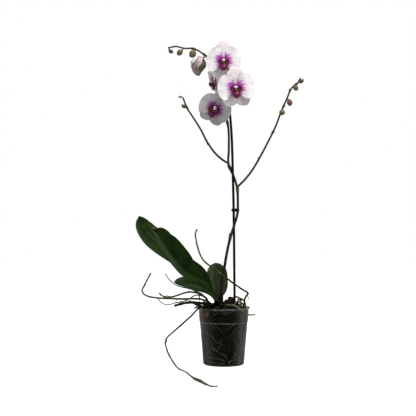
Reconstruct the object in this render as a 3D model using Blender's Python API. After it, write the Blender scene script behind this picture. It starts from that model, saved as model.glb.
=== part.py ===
"""Potted moth orchid: a branched flower spike, leaves and wandering roots in a clear nursery pot.

Metres, +Z up. The origin is the centre of the pot's foot, on the surface that the pot stands on.
The flowers face -Y. Every stem and root is a tube along a short route of hand-chosen points.
"""

import math

import bmesh
import bpy
from mathutils import Matrix, Vector

GAP = 0.0003

# Pot: a thin clear shell with a flat foot, a step part of the way up and a flanged rim.
POT_HEIGHT = 0.129
POT_FOOT_RADIUS = 0.0465
POT_STEP_HEIGHT = 0.095
POT_STEP_RADIUS = 0.0540
POT_RIM_RADIUS = 0.0570
POT_FLANGE_RADIUS = 0.0600
POT_FLANGE_HEIGHT = 0.0035
POT_WALL = 0.0012
POT_SIDES = 36
DRAIN_HOLES = 6
DRAIN_RADIUS = 0.0045
DRAIN_RING_RADIUS = 0.030

# Growing medium: one packed filling that rises to a low mound round the crown.
BARK_EDGE_HEIGHT = 0.119
BARK_TOP_HEIGHT = 0.138
BARK_SIDES = 24
# Outer part of the mound to its middle: share of the pot's radius, and share of the mound's rise.
MOUND_SHAPE = [(0.86, 0.40), (0.62, 0.78), (0.34, 0.96), (0.05, 1.0)]

STAKE_RADIUS = 0.0020
STAKE_ROUTE = [
    (0.0255, 0.000, 0.025),
    (0.0245, 0.000, 0.153),
    (0.0210, 0.000, 0.416),
    (0.0170, 0.000, 0.531),
    (0.0110, 0.000, 0.599),
]

CROWN_ROUTE = [
    (-0.014, 0.004, 0.104),
    (-0.014, 0.004, 0.118),
    (-0.014, 0.004, 0.132),
    (-0.014, 0.004, 0.146),
    (-0.013, 0.004, 0.157),
]
CROWN_RADII = [0.006, 0.0085, 0.009, 0.008, 0.0045]

SPIKE_BASE_RADIUS = 0.0028
SPIKE_TIP_RADIUS = 0.0016
SPIKE_ROUTE = [
    (-0.0075, -0.0085, 0.124),
    (-0.0045, -0.0080, 0.140),
    (-0.0040, -0.0050, 0.168),
    (0.0010, -0.0050, 0.213),
    (0.0070, -0.0055, 0.251),
    (0.0160, -0.0060, 0.290),
    (0.0230, -0.0060, 0.312),
    (0.0310, -0.0035, 0.340),
    (0.0320, 0.0000, 0.365),
    (0.0300, 0.0045, 0.400),
    (0.0230, 0.0055, 0.424),
    (0.0160, 0.0040, 0.439),
    (0.0110, 0.0000, 0.453),
    (0.0115, -0.0020, 0.484),
    (0.0105, -0.0040, 0.531),
    (0.0065, -0.0050, 0.560),
    (0.0060, -0.0050, 0.595),
    (0.0060, -0.0050, 0.630),
    (0.0010, -0.0050, 0.658),
    (-0.0170, -0.0050, 0.681),
    (-0.0400, -0.0050, 0.696),
    (-0.0600, -0.0060, 0.709),
    (-0.0690, -0.0060, 0.7125),
    (-0.0880, -0.0080, 0.7125),
    (-0.1080, -0.0100, 0.7165),
    (-0.1250, -0.0120, 0.7130),
]

BRANCH_BASE_RADIUS = 0.0019
BRANCH_TIP_RADIUS = 0.0013
LEFT_BRANCH_ROUTE = [
    (0.0110, -0.0002, 0.4540),
    (0.0030, -0.0030, 0.458),
    (-0.0200, -0.0100, 0.477),
    (-0.0360, -0.0140, 0.499),
    (-0.0530, -0.0180, 0.531),
    (-0.0710, -0.0220, 0.559),
    (-0.0820, -0.0240, 0.576),
    (-0.0880, -0.0250, 0.590),
    (-0.0910, -0.0260, 0.5985),
]
RIGHT_BRANCH_ROUTE = [
    (0.0302, 0.0043, 0.4000),
    (0.0440, 0.0030, 0.413),
    (0.0600, 0.0080, 0.432),
    (0.0830, 0.0140, 0.469),
    (0.1010, 0.0180, 0.503),
    (0.1200, 0.0220, 0.542),
    (0.1310, 0.0240, 0.571),
    (0.1450, 0.0260, 0.603),
    (0.1560, 0.0280, 0.627),
    (0.1630, 0.0280, 0.634),
    (0.1710, 0.0290, 0.641),
    (0.1760, 0.0300, 0.6500),
]

STEMS = {
    "flower_spike": (SPIKE_ROUTE, SPIKE_BASE_RADIUS, SPIKE_TIP_RADIUS),
    "left_branch": (LEFT_BRANCH_ROUTE, BRANCH_BASE_RADIUS, BRANCH_TIP_RADIUS),
    "right_branch": (RIGHT_BRANCH_ROUTE, BRANCH_BASE_RADIUS, BRANCH_TIP_RADIUS),
}
STEM_STEPS = 1

CLIP_HEIGHT = 0.0075
CLIP_MIDDLE_HEIGHT = 0.348
CLIP_STAKE_POINT = (0.0222, 0.0000)
CLIP_STEM_POINT = (0.0316, -0.0028)
CLIP_BAND = 0.0036

# Leaves: midrib route, half width, thickness, fold, and the way the upper side faces at each end.
LEAVES = {
    "leaf_rear": (
        [
            (-0.0190, 0.0070, 0.142),
            (-0.0290, 0.0130, 0.157),
            (-0.0500, 0.0230, 0.184),
            (-0.0900, 0.0360, 0.222),
            (-0.1310, 0.0500, 0.256),
            (-0.1620, 0.0600, 0.280),
            (-0.1860, 0.0660, 0.310),
            (-0.1960, 0.0690, 0.334),
        ],
        0.0300, 0.0022, 0.18, (0.55, -0.35, 0.76), (0.25, -0.90, 0.36),
    ),
    "leaf_front": (
        [
            (-0.0190, 0.0020, 0.152),
            (-0.0300, -0.0030, 0.162),
            (-0.0425, -0.0150, 0.1765),
            (-0.0685, -0.0340, 0.1985),
            (-0.0930, -0.0460, 0.216),
            (-0.1060, -0.0520, 0.233),
            (-0.1240, -0.0570, 0.259),
            (-0.1360, -0.0610, 0.276),
            (-0.1470, -0.0650, 0.296),
            (-0.1570, -0.0680, 0.303),
        ],
        0.0285, 0.0024, 0.72, (0.48, -0.55, 0.68), (0.43, -0.85, 0.30),
    ),
    "leaf_low": (
        [
            (-0.0150, -0.0020, 0.143),
            (-0.0165, -0.0185, 0.1475),
            (-0.0280, -0.0480, 0.1620),
            (-0.0520, -0.0750, 0.1800),
            (-0.0790, -0.0920, 0.1885),
            (-0.1090, -0.1020, 0.1930),
        ],
        0.0195, 0.0024, 0.25, (0.40, -0.60, 0.70), (0.10, -0.72, 0.68),
    ),
    "leaf_back": (
        [
            (-0.0130, 0.0090, 0.146),
            (-0.0120, 0.0190, 0.158),
            (-0.0130, 0.0290, 0.176),
            (-0.0150, 0.0400, 0.200),
            (-0.0190, 0.0500, 0.226),
        ],
        0.0235, 0.0022, 0.22, (0.15, -0.75, 0.64), (0.00, -0.80, 0.60),
    ),
}
LEAF_SHAPE = [
    (0.00, 0.22),
    (0.06, 0.32),
    (0.18, 0.68),
    (0.34, 0.93),
    (0.54, 1.00),
    (0.76, 0.97),
    (0.90, 0.76),
    (0.97, 0.46),
    (1.00, 0.14),
]
LEAF_ROWS = 12
LEAF_COLUMNS = 4

SCRAP_POINTS = [
    (-0.0340, -0.0410, 0.1302),
    (-0.0370, -0.0480, 0.1306),
    (-0.0390, -0.0505, 0.1240),
    (-0.0410, -0.0510, 0.1120),
]
SCRAP_SIDE = (0.0042, -0.0030, 0.0)

# Roots: route, radius where it starts and radius at its tip. Each starts inside the medium.
ROOTS = {
    "root_long_left": (
        [
            (-0.0260, -0.0180, 0.129),
            (-0.0320, -0.0230, 0.141),
            (-0.0480, -0.0270, 0.148),
            (-0.0760, -0.0290, 0.150),
            (-0.1020, -0.0300, 0.150),
            (-0.1260, -0.0300, 0.151),
            (-0.1500, -0.0300, 0.152),
            (-0.1690, -0.0300, 0.156),
            (-0.1790, -0.0300, 0.161),
            (-0.1825, -0.0300, 0.168),
            (-0.1780, -0.0300, 0.178),
            (-0.1740, -0.0300, 0.187),
            (-0.1685, -0.0300, 0.198),
            (-0.1640, -0.0300, 0.207),
        ],
        0.0024, 0.0018,
    ),
    "root_mid_left": (
        [
            (-0.0330, -0.0100, 0.129),
            (-0.0370, -0.0120, 0.146),
            (-0.0530, -0.0200, 0.160),
            (-0.0770, -0.0280, 0.165),
            (-0.0900, -0.0340, 0.163),
            (-0.1050, -0.0380, 0.158),
            (-0.1200, -0.0390, 0.1545),
            (-0.1320, -0.0390, 0.155),
            (-0.1390, -0.0390, 0.1585),
            (-0.1430, -0.0390, 0.163),
        ],
        0.0026, 0.0018,
    ),
    "root_thin_loop": (
        [
            (-0.0360, -0.0020, 0.129),
            (-0.0420, -0.0060, 0.150),
            (-0.0600, -0.0150, 0.157),
            (-0.0850, -0.0205, 0.1455),
            (-0.1070, -0.0230, 0.1410),
            (-0.1200, -0.0230, 0.137),
            (-0.1290, -0.0230, 0.136),
            (-0.1420, -0.0230, 0.143),
            (-0.1470, -0.0230, 0.149),
        ],
        0.0015, 0.0011,
    ),
    "root_thick_green": (
        [
            (-0.0210, -0.0250, 0.128),
            (-0.0270, -0.0300, 0.1365),
            (-0.0400, -0.0340, 0.1400),
            (-0.0580, -0.0370, 0.1415),
            (-0.0690, -0.0380, 0.1425),
            (-0.0880, -0.0390, 0.1415),
            (-0.1080, -0.0390, 0.1360),
        ],
        0.0036, 0.0030,
    ),
    "root_grey_twig": (
        [
            (-0.0320, 0.0100, 0.128),
            (-0.0400, 0.0110, 0.148),
            (-0.0620, 0.0080, 0.164),
            (-0.0860, 0.0000, 0.172),
            (-0.1040, -0.0060, 0.177),
            (-0.1160, -0.0090, 0.185),
            (-0.1240, -0.0100, 0.193),
            (-0.1310, -0.0100, 0.204),
        ],
        0.0016, 0.0011,
    ),
    "root_trailing": (
        [
            (-0.0290, -0.0300, 0.127),
            (-0.0350, -0.0365, 0.1345),
            (-0.0450, -0.0440, 0.1360),
            (-0.0560, -0.0500, 0.1310),
            (-0.0700, -0.0550, 0.1170),
            (-0.0970, -0.0620, 0.0930),
            (-0.1170, -0.0660, 0.0760),
            (-0.1270, -0.0680, 0.0660),
            (-0.1290, -0.0690, 0.0560),
            (-0.1260, -0.0700, 0.0430),
            (-0.1190, -0.0720, 0.0270),
            (-0.1080, -0.0790, 0.0110),
            (-0.0980, -0.0930, 0.0037),
            (-0.0870, -0.1210, 0.0036),
            (-0.0780, -0.1570, 0.0040),
            (-0.0660, -0.2120, 0.0045),
            (-0.0480, -0.2600, 0.0042),
            (-0.0370, -0.2860, 0.0030),
            (-0.0270, -0.3000, 0.0022),
            (-0.0170, -0.2960, 0.0018),
        ],
        0.0026, 0.0013,
    ),
    "root_long_right": (
        [
            (0.0475, -0.0060, 0.112),
            (0.0470, -0.0090, 0.128),
            (0.0465, -0.0120, 0.140),
            (0.0470, -0.0160, 0.149),
            (0.0510, -0.0190, 0.156),
            (0.0540, -0.0220, 0.1605),
            (0.0520, -0.0240, 0.1640),
            (0.0460, -0.0260, 0.1680),
            (0.0320, -0.0280, 0.1770),
            (0.0210, -0.0290, 0.1845),
            (0.0100, -0.0300, 0.1930),
            (-0.0030, -0.0310, 0.2020),
            (-0.0220, -0.0300, 0.2180),
            (-0.0370, -0.0260, 0.2280),
            (-0.0470, -0.0190, 0.2370),
            (-0.0560, -0.0140, 0.2560),
            (-0.0620, -0.0120, 0.2780),
            (-0.0630, -0.0120, 0.2970),
            (-0.0600, -0.0120, 0.3040),
        ],
        0.0024, 0.0016,
    ),
    "root_over_rim": (
        [
            (0.0020, -0.0240, 0.124),
            (0.0065, -0.0300, 0.1345),
            (0.0160, -0.0400, 0.1365),
            (0.0250, -0.0490, 0.1355),
            (0.0350, -0.0575, 0.1300),
            (0.0460, -0.0530, 0.1210),
            (0.0550, -0.0400, 0.1155),
            (0.0690, -0.0260, 0.1140),
        ],
        0.0022, 0.0017,
    ),
    "root_pale_hook": (
        [
            (0.0230, -0.0200, 0.122),
            (0.0255, -0.0200, 0.1400),
            (0.0320, -0.0200, 0.1440),
            (0.0380, -0.0220, 0.1380),
            (0.0400, -0.0240, 0.1290),
            (0.0400, -0.0250, 0.1160),
        ],
        0.0016, 0.0014,
    ),
    "root_pale_arch": (
        [
            (0.0360, 0.0100, 0.120),
            (0.0390, 0.0080, 0.1420),
            (0.0420, 0.0060, 0.1470),
            (0.0460, 0.0040, 0.1430),
            (0.0480, 0.0020, 0.1330),
            (0.0480, 0.0010, 0.1200),
        ],
        0.0015, 0.0013,
    ),
}

# Roots pressed against the inside of the clear wall: bearing in degrees and height along each.
WALL_ROOTS = {
    "wall_root_left": (
        [(-128, 0.046), (-113, 0.037), (-98, 0.030), (-87, 0.025), (-81, 0.017)],
        0.0022,
    ),
    "wall_root_right": (
        [(-79, 0.0095), (-70, 0.012), (-62, 0.019), (-57, 0.027), (-60, 0.033)],
        0.0019,
    ),
    "wall_root_upper": (
        [(-124, 0.086), (-108, 0.088), (-92, 0.076), (-78, 0.068), (-64, 0.080), (-52, 0.092)],
        0.0020,
    ),
}
WALL_ROOT_SPACE = 0.0006

# Buds: the stem each grows on, route from that stem's own line to the tip, and greatest radius.
BUDS = {
    "bud_tip": (
        "flower_spike",
        [
            (-0.1225, -0.0118, 0.7138),
            (-0.1225, -0.0125, 0.7090),
            (-0.1180, -0.0125, 0.7045),
            (-0.1135, -0.0122, 0.7030),
        ],
        0.0048,
    ),
    "bud_second": (
        "flower_spike",
        [
            (-0.0900, -0.0082, 0.7125),
            (-0.0935, -0.0100, 0.7085),
            (-0.0985, -0.0120, 0.7030),
            (-0.1045, -0.0130, 0.6965),
        ],
        0.0066,
    ),
    "bud_third": (
        "flower_spike",
        [
            (-0.0660, -0.0060, 0.7115),
            (-0.0660, -0.0100, 0.7070),
            (-0.0700, -0.0150, 0.6990),
            (-0.0760, -0.0160, 0.6915),
        ],
        0.0082,
    ),
    "left_bud_end": (
        "left_branch",
        [
            (-0.0905, -0.0259, 0.5970),
            (-0.0935, -0.0265, 0.6000),
            (-0.0975, -0.0270, 0.6012),
            (-0.1020, -0.0272, 0.6005),
        ],
        0.0024,
    ),
    "left_bud_side": (
        "left_branch",
        [
            (-0.0825, -0.0241, 0.5770),
            (-0.0850, -0.0275, 0.5770),
            (-0.0900, -0.0290, 0.5800),
            (-0.0945, -0.0292, 0.5840),
        ],
        0.0040,
    ),
    "right_bud_low": (
        "right_branch",
        [
            (0.1320, 0.0242, 0.5735),
            (0.1340, 0.0200, 0.5745),
            (0.1335, 0.0160, 0.5715),
            (0.1305, 0.0140, 0.5640),
        ],
        0.0066,
    ),
    "right_bud_brown": (
        "right_branch",
        [
            (0.1440, 0.0259, 0.6010),
            (0.1475, 0.0220, 0.6005),
            (0.1505, 0.0190, 0.5940),
            (0.1515, 0.0180, 0.5850),
        ],
        0.0064,
    ),
    "right_bud_high": (
        "right_branch",
        [
            (0.1590, 0.0280, 0.6303),
            (0.1615, 0.0240, 0.6305),
            (0.1645, 0.0210, 0.6270),
            (0.1665, 0.0200, 0.6200),
        ],
        0.0062,
    ),
    "right_bud_end": (
        "right_branch",
        [
            (0.1710, 0.0290, 0.6410),
            (0.1750, 0.0275, 0.6395),
            (0.1790, 0.0270, 0.6430),
            (0.1825, 0.0270, 0.6480),
        ],
        0.0042,
    ),
}
# Places along a bud, and its radius there as a share of the greatest.
BUD_NECK = 0.30
BUD_NECK_SHARE = 0.45
BUD_WIDEST = 0.62
BUD_TIP_SHARE = 0.18
PEDICEL_RADIUS = 0.0012

# Flowers: centre, the way the flower faces, clockwise roll in degrees, and size.
FLOWERS = {
    "flower_top": ((-0.0010, -0.0450, 0.6790), (0.00, -1.0, -0.06), 0.0, 1.0),
    "flower_right": ((0.0260, -0.0620, 0.6170), (0.02, -1.0, -0.05), -4.0, 1.06),
    "flower_low": ((-0.0200, -0.0300, 0.5750), (-0.22, -0.93, -0.28), 30.0, 0.98),
}
SIDE_FLOWER = ((-0.0200, 0.0060, 0.6330), (-0.93, 0.30, -0.20), 0.0, 0.84)
PEDICELS = {
    "flower_top": [
        (0.0020, -0.0050, 0.6540),
        (0.0040, -0.0180, 0.6640),
        (0.0030, -0.0320, 0.6760),
        (-0.0010, -0.0410, 0.6793),
    ],
    "flower_right": [
        (0.0060, -0.0050, 0.6050),
        (0.0140, -0.0200, 0.6150),
        (0.0230, -0.0420, 0.6190),
        (0.0258, -0.0580, 0.6172),
    ],
    "flower_low": [
        (0.0065, -0.0050, 0.5600),
        (-0.0020, -0.0120, 0.5680),
        (-0.0120, -0.0190, 0.5755),
        (-0.0191, -0.0262, 0.5761),
    ],
    "side_flower": [
        (0.0060, -0.0050, 0.6280),
        (0.0020, 0.0010, 0.6350),
        (-0.0060, 0.0032, 0.6365),
        (-0.0138, 0.0040, 0.6345),
    ],
    "opening_bud": [
        (-0.0400, -0.0050, 0.6960),
        (-0.0415, -0.0080, 0.6930),
        (-0.0440, -0.0110, 0.6920),
        (-0.0475, -0.0145, 0.6905),
    ],
}
COLUMN_RADIUS = 0.0028
COLUMN_ROUTE = [
    (0.0, 0.0000, -0.0040),
    (0.0, 0.0002, 0.0000),
    (0.0, 0.0012, 0.0040),
    (0.0, 0.0012, 0.0075),
    (0.0, 0.0000, 0.0100),
]
COLUMN_SHARES = [1.0, 1.04, 0.95, 1.0, 0.6]

# The seat that joins the side flower's parts, in the flower's own directions.
SIDE_SEAT_ROUTE = [
    (0.0, 0.0000, -0.0052),
    (0.0, 0.0000, -0.0010),
    (0.0, 0.0004, 0.0030),
    (0.0, 0.0004, 0.0085),
]
SIDE_SEAT_RADII = [0.0036, 0.0046, 0.0040, 0.0022]
SIDE_LIP_PLACE = (0.0, -0.0018, 0.0014)

# Petal-like parts: bearing in degrees (90 is up), length, half width, forward offset, bow and tip bend.
TEPALS = {
    "dorsal_sepal": (90.0, 0.0430, 0.0165, -0.0026, 0.0020, -0.0050),
    "left_sepal": (238.0, 0.0390, 0.0165, -0.0026, 0.0010, -0.0050),
    "right_sepal": (302.0, 0.0390, 0.0165, -0.0040, 0.0010, -0.0050),
    "left_petal": (174.0, 0.0350, 0.0260, 0.0000, 0.0025, -0.0010),
    "right_petal": (6.0, 0.0350, 0.0260, 0.0000, 0.0025, -0.0010),
}
SEPAL_SHAPE = [
    (0.00, 0.14),
    (0.15, 0.40),
    (0.40, 0.84),
    (0.60, 1.00),
    (0.78, 0.86),
    (0.92, 0.50),
    (1.00, 0.10),
]
PETAL_SHAPE = [
    (0.00, 0.10),
    (0.12, 0.46),
    (0.28, 0.82),
    (0.50, 1.00),
    (0.70, 0.95),
    (0.86, 0.70),
    (0.96, 0.36),
    (1.00, 0.10),
]
TEPAL_BASE_RADIUS = 0.0034
TEPAL_THICKNESS = 0.0008
TEPAL_ROWS = 6
TEPAL_COLUMNS = 4

# Lip: up, forward, half width and rise of the edges, from its hinge to its tip.
LIP_ROWS = [
    (-0.0032, 0.0015, 0.0018, 0.0000),
    (-0.0046, 0.0035, 0.0085, 0.0060),
    (-0.0075, 0.0060, 0.0085, 0.0055),
    (-0.0100, 0.0076, 0.0050, 0.0010),
    (-0.0145, 0.0086, 0.0070, 0.0005),
    (-0.0185, 0.0080, 0.0040, 0.0002),
    (-0.0210, 0.0072, 0.0010, 0.0000),
]
LIP_THICKNESS = 0.0010
LIP_COLUMNS = 4

OPENING_BUD_ROUTE = [
    (-0.0490, -0.0154, 0.6896),
    (-0.0503, -0.0166, 0.6878),
    (-0.0530, -0.0185, 0.6830),
    (-0.0570, -0.0200, 0.6720),
    (-0.0585, -0.0205, 0.6580),
    (-0.0565, -0.0205, 0.6490),
]
OPENING_BUD_RADII = [0.0022, 0.0080, 0.0140, 0.0165, 0.0090, 0.0015]

# Loose bark chips on the mound: middle, size and turn in degrees.
CHIPS = {
    "bark_chip_red": ((0.0140, -0.0150, 0.1435), (0.0110, 0.0090, 0.0150), (8.0, 12.0, 10.0)),
    "bark_chip_dark": ((0.0225, -0.0095, 0.1385), (0.0080, 0.0070, 0.0090), (-10.0, 15.0, 40.0)),
    "bark_chip_rear": ((0.0080, 0.0250, 0.1390), (0.0200, 0.0130, 0.0080), (6.0, -8.0, 65.0)),
}

# A chip's outline at four levels: height as a share of its own, and width as a share of its own.
CHIP_LEVELS = [(-0.5, 0.70), (-0.2, 1.0), (0.25, 0.94), (0.5, 0.62)]

# Colour and roughness of each finish.
FINISHES = {
    "clear_plastic": ((0.10, 0.11, 0.10), 0.15),
    "bark": ((0.055, 0.040, 0.020), 0.90),
    "red_bark": ((0.090, 0.030, 0.018), 0.90),
    "black_plastic": ((0.012, 0.012, 0.012), 0.45),
    "leaf_green": ((0.012, 0.040, 0.010), 0.35),
    "stem_green": ((0.050, 0.065, 0.025), 0.50),
    "root_grey": ((0.160, 0.170, 0.100), 0.80),
    "root_green": ((0.045, 0.090, 0.020), 0.60),
    "root_brown": ((0.150, 0.110, 0.060), 0.85),
    "dry_leaf": ((0.220, 0.150, 0.040), 0.80),
    "bud_olive": ((0.160, 0.110, 0.060), 0.55),
    "petal_white": ((0.860, 0.800, 0.840), 0.45),
    "lip_maroon": ((0.220, 0.020, 0.080), 0.40),
}


def clear_scene():
    for obj in list(bpy.data.objects):
        bpy.data.objects.remove(obj, do_unlink=True)


def make_finishes():
    made = {}
    for name, (colour, roughness) in FINISHES.items():
        material = bpy.data.materials.new(name)
        material.use_nodes = True
        shader = material.node_tree.nodes["Principled BSDF"]
        shader.inputs["Base Color"].default_value = (*colour, 1.0)
        shader.inputs["Roughness"].default_value = roughness
        material.diffuse_color = (*colour, 1.0)
        made[name] = material
    return made


def eased(table, position):
    """The value at a position of a table of (position, value) rows, on straight runs between the rows."""
    for (start, low), (end, high) in zip(table, table[1:]):
        if position <= end:
            return low + (high - low) * (position - start) / (end - start)
    return table[-1][1]


def smooth_route(route, steps):
    """Points on a smooth curve through the route's own points, with a number of steps for each span."""
    points = [Vector(point) for point in route]
    spans = [(end - start).length for start, end in zip(points, points[1:])]
    slopes = [(points[1] - points[0]) / spans[0]]
    for i in range(1, len(points) - 1):
        before = (points[i] - points[i - 1]) / spans[i - 1]
        after = (points[i + 1] - points[i]) / spans[i]
        slopes.append((before * spans[i] + after * spans[i - 1]) / (spans[i - 1] + spans[i]))
    slopes.append((points[-1] - points[-2]) / spans[-1])
    smooth = [points[0]]
    for i, span in enumerate(spans):
        for step in range(1, steps + 1):
            t = step / steps
            near = (2 * t**3 - 3 * t**2 + 1) * points[i] + (t**3 - 2 * t**2 + t) * span * slopes[i]
            far = (3 * t**2 - 2 * t**3) * points[i + 1] + (t**3 - t**2) * span * slopes[i + 1]
            smooth.append(near + far)
    return smooth


def distances(points):
    """How far along the line each point lies, from 0 to 1."""
    lengths = [0.0]
    for start, end in zip(points, points[1:]):
        lengths.append(lengths[-1] + (end - start).length)
    return [length / lengths[-1] for length in lengths]


def directions(points):
    """The way the line runs at each point."""
    ways = [points[1] - points[0]]
    ways += [after - before for before, after in zip(points, points[2:])]
    ways.append(points[-1] - points[-2])
    return [way.normalized() for way in ways]


def skin(name, rings, finish, helper=False):
    """One closed solid through rings of the same even number of points, with both ends covered."""
    mesh = bmesh.new()
    loops = [[mesh.verts.new(point) for point in ring] for ring in rings]
    count = len(loops[0])
    for lower, upper in zip(loops, loops[1:]):
        for i in range(count):
            j = (i + 1) % count
            mesh.faces.new((lower[i], lower[j], upper[j], upper[i]))
    for loop in (loops[0], loops[-1]):
        for i in range(count // 2 - 1):
            mesh.faces.new((loop[i], loop[i + 1], loop[count - 2 - i], loop[count - 1 - i]))
    bmesh.ops.recalc_face_normals(mesh, faces=mesh.faces)
    data = bpy.data.meshes.new(name)
    mesh.to_mesh(data)
    mesh.free()
    if data.polygons:
        data.shade_smooth()
        data.set_sharp_from_angle(angle=math.radians(50))
    data.materials.append(finish)
    obj = bpy.data.objects.new(name, data)
    bpy.context.scene.collection.objects.link(obj)
    if helper:
        obj.hide_render = True
        obj.display_type = "WIRE"
    return obj


def ring_round(centre, across, upward, radius, sides):
    angles = [2 * math.pi * i / sides for i in range(sides)]
    return [centre + radius * (math.cos(a) * across + math.sin(a) * upward) for a in angles]


def tube_rings(points, radii, sides):
    """Rings square to a line, turned along with it so that the tube has no twist."""
    ways = directions(points)
    across = ways[0].orthogonal().normalized()
    rings = []
    for point, way, radius in zip(points, ways, radii):
        across = (across - across.dot(way) * way).normalized()
        rings.append(ring_round(point, across, way.cross(across), radius, sides))
    return rings


def tapered_tube(name, route, start_radius, end_radius, finish, sides=6, steps=1, grow=0.0, helper=False):
    points = smooth_route(route, steps)
    radii = []
    for along in distances(points):
        radii.append(start_radius + (end_radius - start_radius) * along + grow)
    rings = tube_rings(points, radii, sides)
    ways = directions(points)
    rounded = points[-1] + ways[-1] * (0.7 * radii[-1])
    tip = [rounded + 0.5 * (corner - points[-1]) for corner in rings[-1]]
    return skin(name, rings + [tip], finish, helper)


def turned(name, profile, sides, finish, centre=(0.0, 0.0)):
    """A solid of revolution through (radius, height) rows, upright at a place on the floor."""
    rings = []
    for radius, height in profile:
        middle = Vector((centre[0], centre[1], height))
        rings.append(ring_round(middle, Vector((1, 0, 0)), Vector((0, 1, 0)), radius, sides))
    return skin(name, rings, finish)


def shaped(obj, operation, tools):
    """Adds one Boolean step for each tool."""
    for tool in tools:
        step = obj.modifiers.new(tool.name, "BOOLEAN")
        step.operation = operation
        step.solver = "EXACT"
        step.object = tool
    return obj


def sheet(name, rows, thickness, finish):
    """A thin closed solid: each row is a list of (point, normal, thickness share) across the sheet."""
    rings = []
    for row in rows:
        front = [point + normal * (0.5 * thickness * share) for point, normal, share in row]
        back = [point - normal * (0.5 * thickness * share) for point, normal, share in row]
        rings.append(front + back[::-1])
    return skin(name, rings, finish)


def pot_radius(height):
    """Outer radius of the pot's wall at a height, below its flange."""
    stations = [
        (0.0, POT_FOOT_RADIUS - 0.003),
        (0.004, POT_FOOT_RADIUS),
        (POT_STEP_HEIGHT, POT_STEP_RADIUS),
        (POT_STEP_HEIGHT + 0.003, POT_STEP_RADIUS + 0.0012),
        (POT_HEIGHT, POT_RIM_RADIUS),
    ]
    return eased(stations, height)


def make_pot(finish):
    inside = POT_WALL
    heights = [0.004, POT_STEP_HEIGHT, POT_STEP_HEIGHT + 0.003, POT_HEIGHT]
    profile = [(pot_radius(inside) - inside, inside)]
    profile += [(pot_radius(height) - inside, height) for height in heights]
    profile += [
        (POT_FLANGE_RADIUS, POT_HEIGHT),
        (POT_FLANGE_RADIUS, POT_HEIGHT - POT_FLANGE_HEIGHT),
        (pot_radius(POT_HEIGHT - POT_FLANGE_HEIGHT), POT_HEIGHT - POT_FLANGE_HEIGHT),
    ]
    profile += [(pot_radius(height), height) for height in reversed(heights[:-1])]
    profile.append((pot_radius(0.0), 0.0))
    pot = turned("pot", profile, POT_SIDES, finish)
    drains = []
    for i in range(DRAIN_HOLES):
        bearing = 2 * math.pi * i / DRAIN_HOLES
        place = (DRAIN_RING_RADIUS * math.cos(bearing), DRAIN_RING_RADIUS * math.sin(bearing))
        rows = [(DRAIN_RADIUS, -0.002), (DRAIN_RADIUS, 0.004)]
        drain = turned(f"drain_cutter_{i}", rows, 12, finish, place)
        drain.hide_render = True
        drain.display_type = "WIRE"
        drains.append(drain)
    return shaped(pot, "DIFFERENCE", drains)


def make_bark(finish, tools):
    """The filling follows the pot's wall inside and has a hole for every piece that enters it."""
    clear = POT_WALL + 2 * GAP
    low = POT_WALL + 2 * GAP
    profile = [(pot_radius(low) - clear - 0.001, low)]
    for height in (0.006, POT_STEP_HEIGHT, POT_STEP_HEIGHT + 0.004, BARK_EDGE_HEIGHT):
        profile.append((pot_radius(height) - clear, height))
    rise = BARK_TOP_HEIGHT - BARK_EDGE_HEIGHT
    for reach, share in MOUND_SHAPE:
        profile.append((reach * pot_radius(BARK_EDGE_HEIGHT), BARK_EDGE_HEIGHT + share * rise))
    return shaped(turned("bark_mix", profile, BARK_SIDES, finish), "DIFFERENCE", tools)


def make_crown(finish, grow=0.0):
    name = "crown_cutter" if grow else "crown"
    points = smooth_route(CROWN_ROUTE, 1)
    radii = [radius + grow for radius in CROWN_RADII]
    points[0] = points[0] - Vector((0, 0, grow))
    points[-1] = points[-1] + Vector((0, 0, grow))
    return skin(name, tube_rings(points, radii, 12), finish, bool(grow))


def make_clip(finish, tools):
    """A band that goes round the stake and the stem, with a hole for each."""
    stake = Vector((*CLIP_STAKE_POINT, 0))
    stem = Vector((*CLIP_STEM_POINT, 0))
    along = (stem - stake).normalized()
    across = Vector((-along.y, along.x, 0))
    outline = []
    for centre, turn in ((stem, -90), (stake, 90)):
        for i in range(7):
            angle = math.radians(turn + 30 * i)
            outline.append(centre + CLIP_BAND * (math.cos(angle) * along + math.sin(angle) * across))
    rings = []
    for height in (CLIP_MIDDLE_HEIGHT - CLIP_HEIGHT / 2, CLIP_MIDDLE_HEIGHT + CLIP_HEIGHT / 2):
        rings.append([point + Vector((0, 0, height)) for point in outline])
    return shaped(skin("stem_clip", rings, finish), "DIFFERENCE", tools)


def make_leaf(name, finish):
    midrib, half_width, thickness, fold, facing_start, facing_end = LEAVES[name]
    fine = smooth_route(midrib, 8)
    along = distances(fine)
    ways = directions(fine)
    rows = []
    for row in range(LEAF_ROWS + 1):
        share = row / LEAF_ROWS
        index = min(range(len(fine)), key=lambda i: abs(along[i] - share))
        facing = Vector(facing_start).lerp(Vector(facing_end), share)
        normal = (facing - facing.dot(ways[index]) * ways[index]).normalized()
        side = ways[index].cross(normal)
        width = half_width * eased(LEAF_SHAPE, share)
        across = []
        for column in range(LEAF_COLUMNS + 1):
            v = 2 * column / LEAF_COLUMNS - 1
            point = fine[index] + side * (v * width) + normal * (fold * abs(v) * width)
            across.append((point, normal, 1 - 0.6 * abs(v)))
        rows.append(across)
    return sheet(name, rows, thickness, finish)


def make_scrap(finish):
    """A dead scrap of leaf that hangs over the rim."""
    outward = Vector((-0.45, -0.65, 0.60)).normalized()
    rows = []
    for point in SCRAP_POINTS:
        across = []
        for v in (-1, 0, 1):
            across.append((Vector(point) + v * Vector(SCRAP_SIDE), outward, 1.0))
        rows.append(across)
    return sheet("dry_leaf_scrap", rows, 0.0010, finish)


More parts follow.
